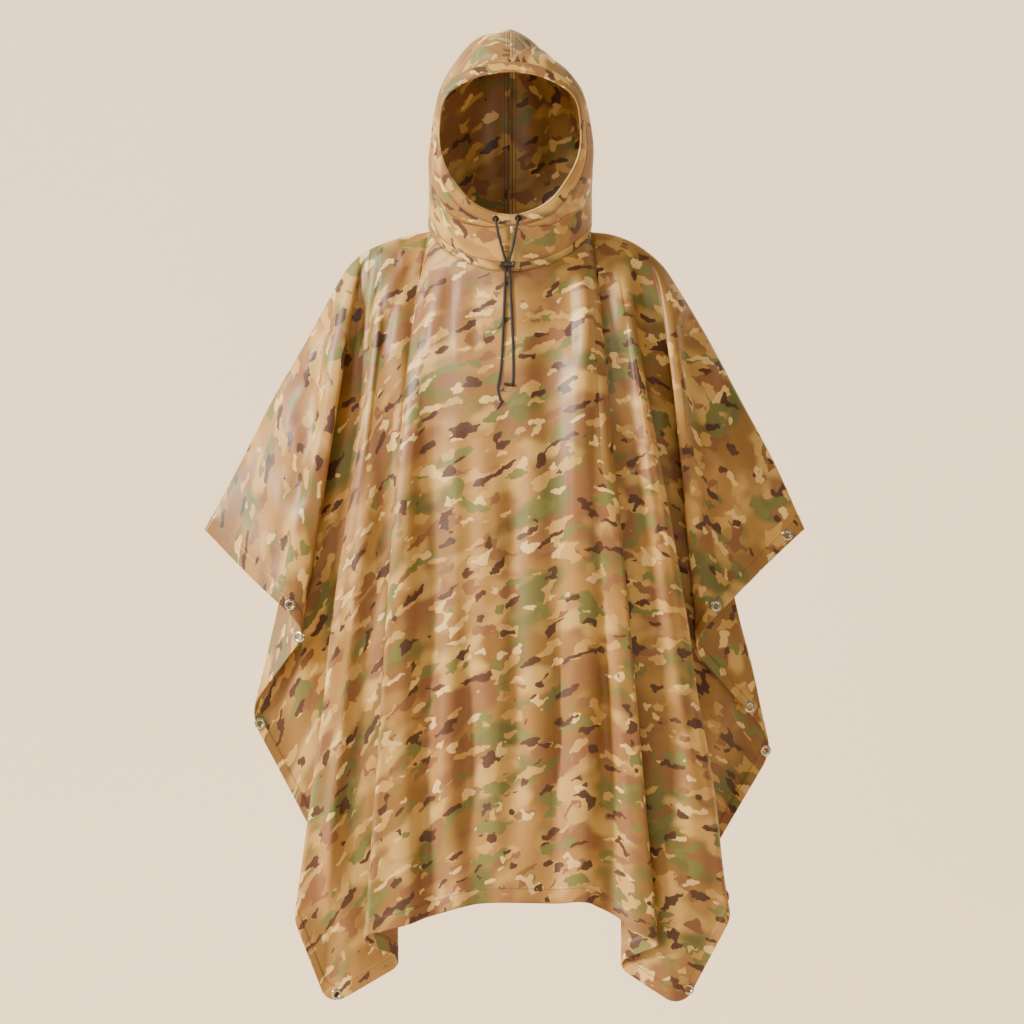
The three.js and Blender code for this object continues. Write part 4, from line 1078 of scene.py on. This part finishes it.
def stitches(tree, along, across, lines):
    """Mask of sewn lines: 3 mm stitches with short gaps, at distances from the edge."""
    beat = add_node(tree, "ShaderNodeMath", {0: along, 1: 0.0032}, operation="MODULO")
    run = add_node(tree, "ShaderNodeMath", {0: beat.outputs[0], 1: 0.0024}, operation="LESS_THAN")
    total = None
    for line in lines:
        near = add_node(
            tree, "ShaderNodeMath", {0: across, 1: line, 2: 0.0006}, operation="COMPARE"
        )
        total = near if total is None else add_node(
            tree, "ShaderNodeMath", {0: total.outputs[0], 1: near.outputs[0]}, operation="MAXIMUM"
        )
    both = add_node(
        tree, "ShaderNodeMath", {0: total.outputs[0], 1: run.outputs[0]}, operation="MULTIPLY"
    )
    return both.outputs[0]


def braided_polyester():
    """Braided polyester cord, dyed black: matt, with crossing yarns, and painted highlight on the yarns'
    crests and painted shade in the gaps between them.
    """
    material, tree = new_material("black_braided_polyester")
    place = add_node(tree, "ShaderNodeUVMap", uv_map="cut").outputs[0]
    waves = []
    for turn in (0.9, -0.9):
        mapped = add_node(tree, "ShaderNodeMapping", {"Vector": place, "Rotation": (0, 0, turn)})
        waves.append(add_node(
            tree, "ShaderNodeTexWave", {"Vector": mapped.outputs[0], "Scale": 260.0},
            wave_type="BANDS", bands_direction="X",
        ).outputs["Fac"])
    yarn_relief_and_shade = add_node(tree, "ShaderNodeMath", {0: waves[0], 1: waves[1]}, operation="MAXIMUM")
    bump = add_node(
        tree, "ShaderNodeBump", {"Height": yarn_relief_and_shade.outputs[0], "Strength": 0.8, "Distance": 0.0004}
    )
    # Painted highlight on the yarns' crests and painted shade in the gaps between them, from the same relief
    # as the bump.
    colour = blend_colour(tree, yarn_relief_and_shade.outputs[0], srgb("#0D0E10"), srgb("#26282B"))
    shader = add_node(
        tree, "ShaderNodeBsdfPrincipled",
        {"Base Color": colour, "Roughness": 0.72, "IOR": 1.5, "Normal": bump.outputs[0]},
    )
    finish_material(tree, shader)
    return material


def hard_material(name, code, roughness, metallic, speck, speck_code):
    """A hard finish whose colour and gloss vary a little over patches about speck metres wide."""
    material, tree = new_material(name)
    place = add_node(tree, "ShaderNodeTexCoord").outputs["Object"]
    cloud = add_node(
        tree, "ShaderNodeTexNoise", {"Vector": place, "Scale": 1 / speck, "Detail": 4.0}
    )
    colour = blend_colour(tree, cloud.outputs["Fac"], srgb(code), srgb(speck_code))
    gloss = add_node(
        tree, "ShaderNodeMapRange",
        {"Value": cloud.outputs["Fac"], "To Min": roughness - 0.06, "To Max": roughness + 0.08},
    )
    bump = add_node(
        tree, "ShaderNodeBump",
        {"Height": cloud.outputs["Fac"], "Strength": 0.2, "Distance": 0.0002},
    )
    shader = add_node(
        tree, "ShaderNodeBsdfPrincipled",
        {
            "Base Color": colour, "Roughness": gloss.outputs[0], "Metallic": metallic,
            "Normal": bump.outputs[0],
        },
    )
    finish_material(tree, shader)
    return material


def plain_stage_material(name, code, glow):
    """Matt paper, clear from behind, so that the piece can be looked at from all sides."""
    material, tree = new_material(name)
    paper = add_node(
        tree, "ShaderNodeBsdfPrincipled",
        {
            "Base Color": srgb(code), "Roughness": 0.9,
            "Emission Color": srgb("#FFDFB0"), "Emission Strength": glow,
        },
    )
    clear = add_node(tree, "ShaderNodeBsdfTransparent")
    back = add_node(tree, "ShaderNodeNewGeometry")
    both = add_node(
        tree, "ShaderNodeMixShader",
        {0: back.outputs["Backfacing"], 1: paper.outputs[0], 2: clear.outputs[0]},
    )
    finish_material(tree, both)
    return material


class PonchoSize(bpy.types.PropertyGroup):
    """Sizes of the poncho that a user may change."""

    wall: FloatProperty(
        name="Cloth", description="Thickness of the cloth", default=0.0016, unit="LENGTH",
    )
    hem_wall: FloatProperty(
        name="Hem thickness", description="Thickness of the turned hem", default=0.0028,
        unit="LENGTH",
    )
    hem_width: FloatProperty(
        name="Hem width", description="Width of the turned hem", default=0.025, unit="LENGTH",
    )
    crease_depth: FloatProperty(
        name="Creases", description="Share of the full depth of creases", default=1.0,
        subtype="FACTOR",
    )


class PonchoStage(bpy.types.PropertyGroup):
    """Camera, floor and light."""

    distance: FloatProperty(
        name="Distance", description="From the camera to the middle of the neck", default=6.0,
        unit="LENGTH",
    )
    focal_length: FloatProperty(
        name="Focal length", description="Lens of the camera, in millimetres", default=136.0,
    )
    key_light: FloatProperty(
        name="Key light", description="Strength of the far, soft key light", default=8.2,
    )
    near_light: FloatProperty(
        name="Near light", description="Power of the light near the chest", default=22.0,
        unit="POWER",
    )
    hood_light: FloatProperty(
        name="Hood light", description="Power of the light into the hood", default=4.0,
        unit="POWER",
    )
    fill_light: FloatProperty(
        name="Fill light", description="Power of the fill light", default=8.0, unit="POWER",
    )


CREASE_SEEDS = {"front": 0.5, "back": 2.5, "left": 5.5, "right": 7.5}
MATERIALS = {}
CLOTHS = {}


def finishes():
    """The materials of all pieces, made once."""
    if not MATERIALS:
        MATERIALS["cloth"] = coated_nylon("printed_coated_nylon", (0.0215,))
        MATERIALS["hood"] = coated_nylon("printed_coated_nylon_hood", (0.0035, 0.009))
        MATERIALS["trim"] = coated_nylon("printed_coated_nylon_trim", (0.002, 0.0155))
        MATERIALS["cord"] = braided_polyester()
        MATERIALS["lock"] = hard_material("moulded_acetal", "#1B1F1D", 0.38, 0, 0.003, "#262B28")
        MATERIALS["ring"] = hard_material("nickel_plated_brass", "#C9C6BD", 0.26, 1, 0.004, "#A9A499")
        MATERIALS["dark_ring"] = hard_material("blackened_brass", "#3A3833", 0.36, 1, 0.003, "#24221F")
    return MATERIALS


def aim(obj, target):
    obj.rotation_euler = (Vector(target) - obj.location).to_track_quat("-Z", "Y").to_euler()


class PONCHO_OT_stage(bpy.types.Operator):
    """Set the camera, the floor, the backdrop and the lights"""

    bl_idname = "poncho.stage"
    bl_label = "Stage"

    def execute(self, context):
        scene = context.scene
        stage = scene.poncho_stage
        camera = bpy.data.objects.new("camera", bpy.data.cameras.new("camera"))
        camera.data.lens = stage.focal_length
        camera.location = (VIEW_CENTRE[0], -stage.distance, VIEW_CENTRE[1])
        aim(camera, (VIEW_CENTRE[0], 0, VIEW_CENTRE[1]))
        scene.collection.objects.link(camera)
        scene.camera = camera
        for name, place, turn, glow in (
            ("floor", (0, 0, FLOOR_Z), 0, 0), ("backdrop", (0, BACKDROP_Y, 0), math.pi / 2, 0.42),
        ):
            bm = bmesh.new()
            bmesh.ops.create_grid(bm, x_segments=1, y_segments=1, size=8)
            matrix = Matrix.Translation(place) @ Matrix.Rotation(turn, 4, "X")
            bmesh.ops.transform(bm, matrix=matrix, verts=list(bm.verts))
            mesh = bpy.data.meshes.new(name)
            bm.to_mesh(mesh)
            bm.free()
            mesh.materials.append(plain_stage_material(f"matt_paper_{name}", "#F6E7D0", glow))
            obj = bpy.data.objects.new(name, mesh)
            scene.collection.objects.link(obj)
        world = bpy.data.worlds.new("studio")
        world.use_nodes = True
        world.node_tree.nodes["Background"].inputs[0].default_value = srgb("#EFE9DF")
        world.node_tree.nodes["Background"].inputs[1].default_value = 0.1
        scene.world = world
        for name, kind, power, spread, place, target in (
            ("key", "SUN", stage.key_light, 0.22, (-5.2, -2.6, 2.9), (0, 0, -0.35)),
            ("near_key", "AREA", stage.near_light, 0.6, (-1.3, -1.7, 1.1), (0, 0, -0.1)),
            ("fill", "AREA", stage.fill_light, 2.5, (3.2, -3.0, 0.6), (0, 0, -0.35)),
            ("rim", "AREA", stage.fill_light, 2.0, (0.5, 3.5, 2.8), (0, 0, -0.35)),
            ("hood_fill", "AREA", stage.hood_light, 0.3, (0.25, -1.3, 0.3), (0, 0, 0.15)),
        ):
            light = bpy.data.lights.new(name, kind)
            light.energy = power
            light.color = srgb("#FFF4E4")[:3]
            setattr(light, "angle" if kind == "SUN" else "size", spread)
            obj = bpy.data.objects.new(name, light)
            obj.location = place
            aim(obj, target)
            scene.collection.objects.link(obj)
        return {"FINISHED"}


def on_cloth(cloth, point, facing):
    """The place and facing of the cloth nearest to a point, where it faces about the same way."""
    far = np.linalg.norm(cloth.points - point, axis=2)
    turned = cloth.facing @ facing
    spot = np.unravel_index(np.where(np.abs(turned) > 0.8, far, 1e9).argmin(), far.shape)
    way = cloth.facing[spot] * np.sign(turned[spot])
    return point + way * ((cloth.points[spot] - point) @ way), way


VIEW_CENTRE = (0.003, -0.417)
FLOOR_Z = -1.45
BACKDROP_Y = 1.3


class PONCHO_OT_cords(bpy.types.Operator):
    """Make the free ends of the drawcord, with their knots"""

    bl_idname = "poncho.cords"
    bl_label = "Drawcord"

    def execute(self, context):
        cord = finishes()["cord"]
        for name, end in CORD_ENDS.items():
            knot = vec(*end["knot"])
            last = vec(*end["route"][-1])
            towards = unit(knot - last)
            stop = knot - towards * (KNOT_HEIGHT / 2 + SEAM)
            route = catmull([*end["route"], stop], np.linspace(0, 1, 160))
            rings, flat = tube_rings(route, CORD_DIAMETER / 2, 16)
            tube = add_object(tube_mesh(rings, flat), f"drawcord_{name}_braid", cord)
            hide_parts(f"drawcord_{name}")
            tied = add_object(knot_mesh(knot, vec(*end["tail"]), towards), f"knot_{name}_tied", cord)
            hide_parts(f"knot_{name}")
        return {"FINISHED"}


def knot_mesh(centre, tail, towards):
    """An overhand knot pulled tight: one turn of cord round the core, and its cut tail."""
    bm = bmesh.new()
    cut = bm.loops.layers.uv.new("cut")
    parts = []
    side = unit(np.cross(towards, vec(0, 1, 0)))
    front = np.cross(side, towards)
    turn = [
        centre + side * 2.1 * math.cos(a) + front * 2.1 * math.sin(a) + towards * 1.5 * math.sin(a / 2 + 0.4)
        for a in np.linspace(0.4, 0.4 + 2 * math.pi, 28)
    ]
    parts.append((turn, 1.75))
    start = centre - towards * KNOT_HEIGHT / 2
    core = [start, centre - towards * 1.2, centre + (tail - centre) * 0.2, tail]
    core = catmull(core, np.linspace(0, 1, 24))
    parts.append((core, KNOT_TAIL / 2 - 0.05))
    for route, radius in parts:
        rings, flat = tube_rings(route, radius, 14)
        piece = tube_mesh(rings, flat)
        holder = bpy.data.meshes.new("part")
        piece.to_mesh(holder)
        piece.free()
        bm.from_mesh(holder)
        bpy.data.meshes.remove(holder)
    return bm


class PONCHO_OT_lock(bpy.types.Operator):
    """Make the cord lock"""

    bl_idname = "poncho.lock"
    bl_label = "Cord lock"

    def execute(self, context):
        lock = add_object(lock_mesh(), "cord_lock_barrel", finishes()["lock"])
        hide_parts("cord_lock")
        return {"FINISHED"}


class PONCHO_OT_panels(bpy.types.Operator):
    """Make the front and the back panel"""

    bl_idname = "poncho.panels"
    bl_label = "Panels"

    def execute(self, context):
        size = context.scene.poncho_size
        for name, folds, fore in (("front", FRONT, -1), ("back", BACK, 1)):
            cloth = panel_cloth(folds, fore, size)
            crease_cloth(cloth, name, size.crease_depth, CREASE_SEEDS[name])
            CLOTHS[name] = cloth
            obj = add_object(cloth_mesh(cloth), f"{name}_cloth", finishes()["cloth"])
            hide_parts(f"{name}_panel")
        return {"FINISHED"}


class PONCHO_OT_hood(bpy.types.Operator):
    """Make the two halves of the hood"""

    bl_idname = "poncho.hood"
    bl_label = "Hood"

    def execute(self, context):
        size = context.scene.poncho_size
        for name, sign in (("left", -1), ("right", 1)):
            cloth = hood_cloth(sign, size)
            crease_cloth(cloth, "hood", size.crease_depth, CREASE_SEEDS[name])
            obj = add_object(cloth_mesh(cloth), f"hood_{name}_cloth", finishes()["hood"])
            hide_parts(f"hood_{name}")
        return {"FINISHED"}


class PONCHO_OT_trims(bpy.types.Operator):
    """Make the tunnel round the face and the band at the neck"""

    bl_idname = "poncho.trims"
    bl_label = "Tunnel and band"

    def execute(self, context):
        trims = (
            ("face_tunnel_cloth", "face_tunnel", "cloth", tunnel_rings(), TUNNEL_WIDTH),
            ("neck_binding", "neck_band", "binding", band_rings(), BAND_HEIGHT),
        )
        for name, node, slot, (points, places), width in trims:
            closed = np.concatenate([places, places[:, :1]], axis=1)
            around = places[-1, 0, 0] * len(places) / (len(places) - 1)
            closed = np.concatenate([closed, closed[:1] + (around, 0)])
            bm = tube_mesh(points, closed, close_rows=True)
            obj = add_object(bm, name, finishes()["trim"])
            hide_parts(node)
        return {"FINISHED"}


class PONCHO_OT_eyelets(bpy.types.Operator):
    """Make the ring eyelets of the hem and the cord eyelets of the tunnel"""

    bl_idname = "poncho.eyelets"
    bl_label = "Eyelets"

    def execute(self, context):
        hem = context.scene.poncho_size.hem_width / MM
        panels = {"front": (FRONT, -1), "back": (BACK, 1)}
        for i, (panel, after, share) in enumerate(RING_PLACES):
            folds, fore = panels[panel]
            centre, facing = on_cloth(
                CLOTHS[panel], *ring_place(folds, fore, hem, after, share)
            )
            bm = lathe(ring_profile(), 40, centre, facing)
            obj = add_object(bm, f"ring_eyelet_{i + 1}_rolled", finishes()["ring"])
            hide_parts(f"ring_eyelet_{i + 1}")
        for name, end in CORD_ENDS.items():
            x, z = end["eyelet"]
            bm = lathe(cord_eyelet_profile(), 32, (x, end["route"][0][1], z), (0, -1, 0))
            obj = add_object(bm, f"cord_eyelet_{name}_rolled", finishes()["dark_ring"])
            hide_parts(f"cord_eyelet_{name}")
        return {"FINISHED"}


class PONCHO_PT_panel(bpy.types.Panel):
    """Sizes of the poncho and its pieces in order"""

    bl_idname = "PONCHO_PT_panel"
    bl_label = "Rain Poncho"
    bl_space_type = "VIEW_3D"
    bl_region_type = "UI"
    bl_category = "Poncho"

    def draw(self, context):
        layout = self.layout
        for group in (context.scene.poncho_size, context.scene.poncho_stage):
            for key in group.__annotations__:
                layout.prop(group, key)
        for operator in OPERATORS:
            layout.operator(operator.bl_idname)


OPERATORS = (
    PONCHO_OT_stage, PONCHO_OT_cords, PONCHO_OT_lock, PONCHO_OT_trims, PONCHO_OT_panels,
    PONCHO_OT_hood, PONCHO_OT_eyelets,
)
GROUPS = (PonchoSize, PonchoStage)


def register():
    for group in GROUPS:
        bpy.utils.register_class(group)
    bpy.types.Scene.poncho_size = PointerProperty(type=PonchoSize)
    bpy.types.Scene.poncho_stage = PointerProperty(type=PonchoStage)
    for operator in OPERATORS:
        bpy.utils.register_class(operator)
    bpy.utils.register_class(PONCHO_PT_panel)


def unregister():
    bpy.utils.unregister_class(PONCHO_PT_panel)
    for operator in reversed(OPERATORS):
        bpy.utils.unregister_class(operator)
    del bpy.types.Scene.poncho_stage
    del bpy.types.Scene.poncho_size
    for group in reversed(GROUPS):
        bpy.utils.unregister_class(group)


def main():
    register()
    bpy.ops.poncho.stage()
    bpy.ops.poncho.cords()
    bpy.ops.poncho.lock()
    bpy.ops.poncho.trims()
    bpy.ops.poncho.panels()
    bpy.ops.poncho.hood()
    bpy.ops.poncho.eyelets()


if __name__ == "__main__":
    main()
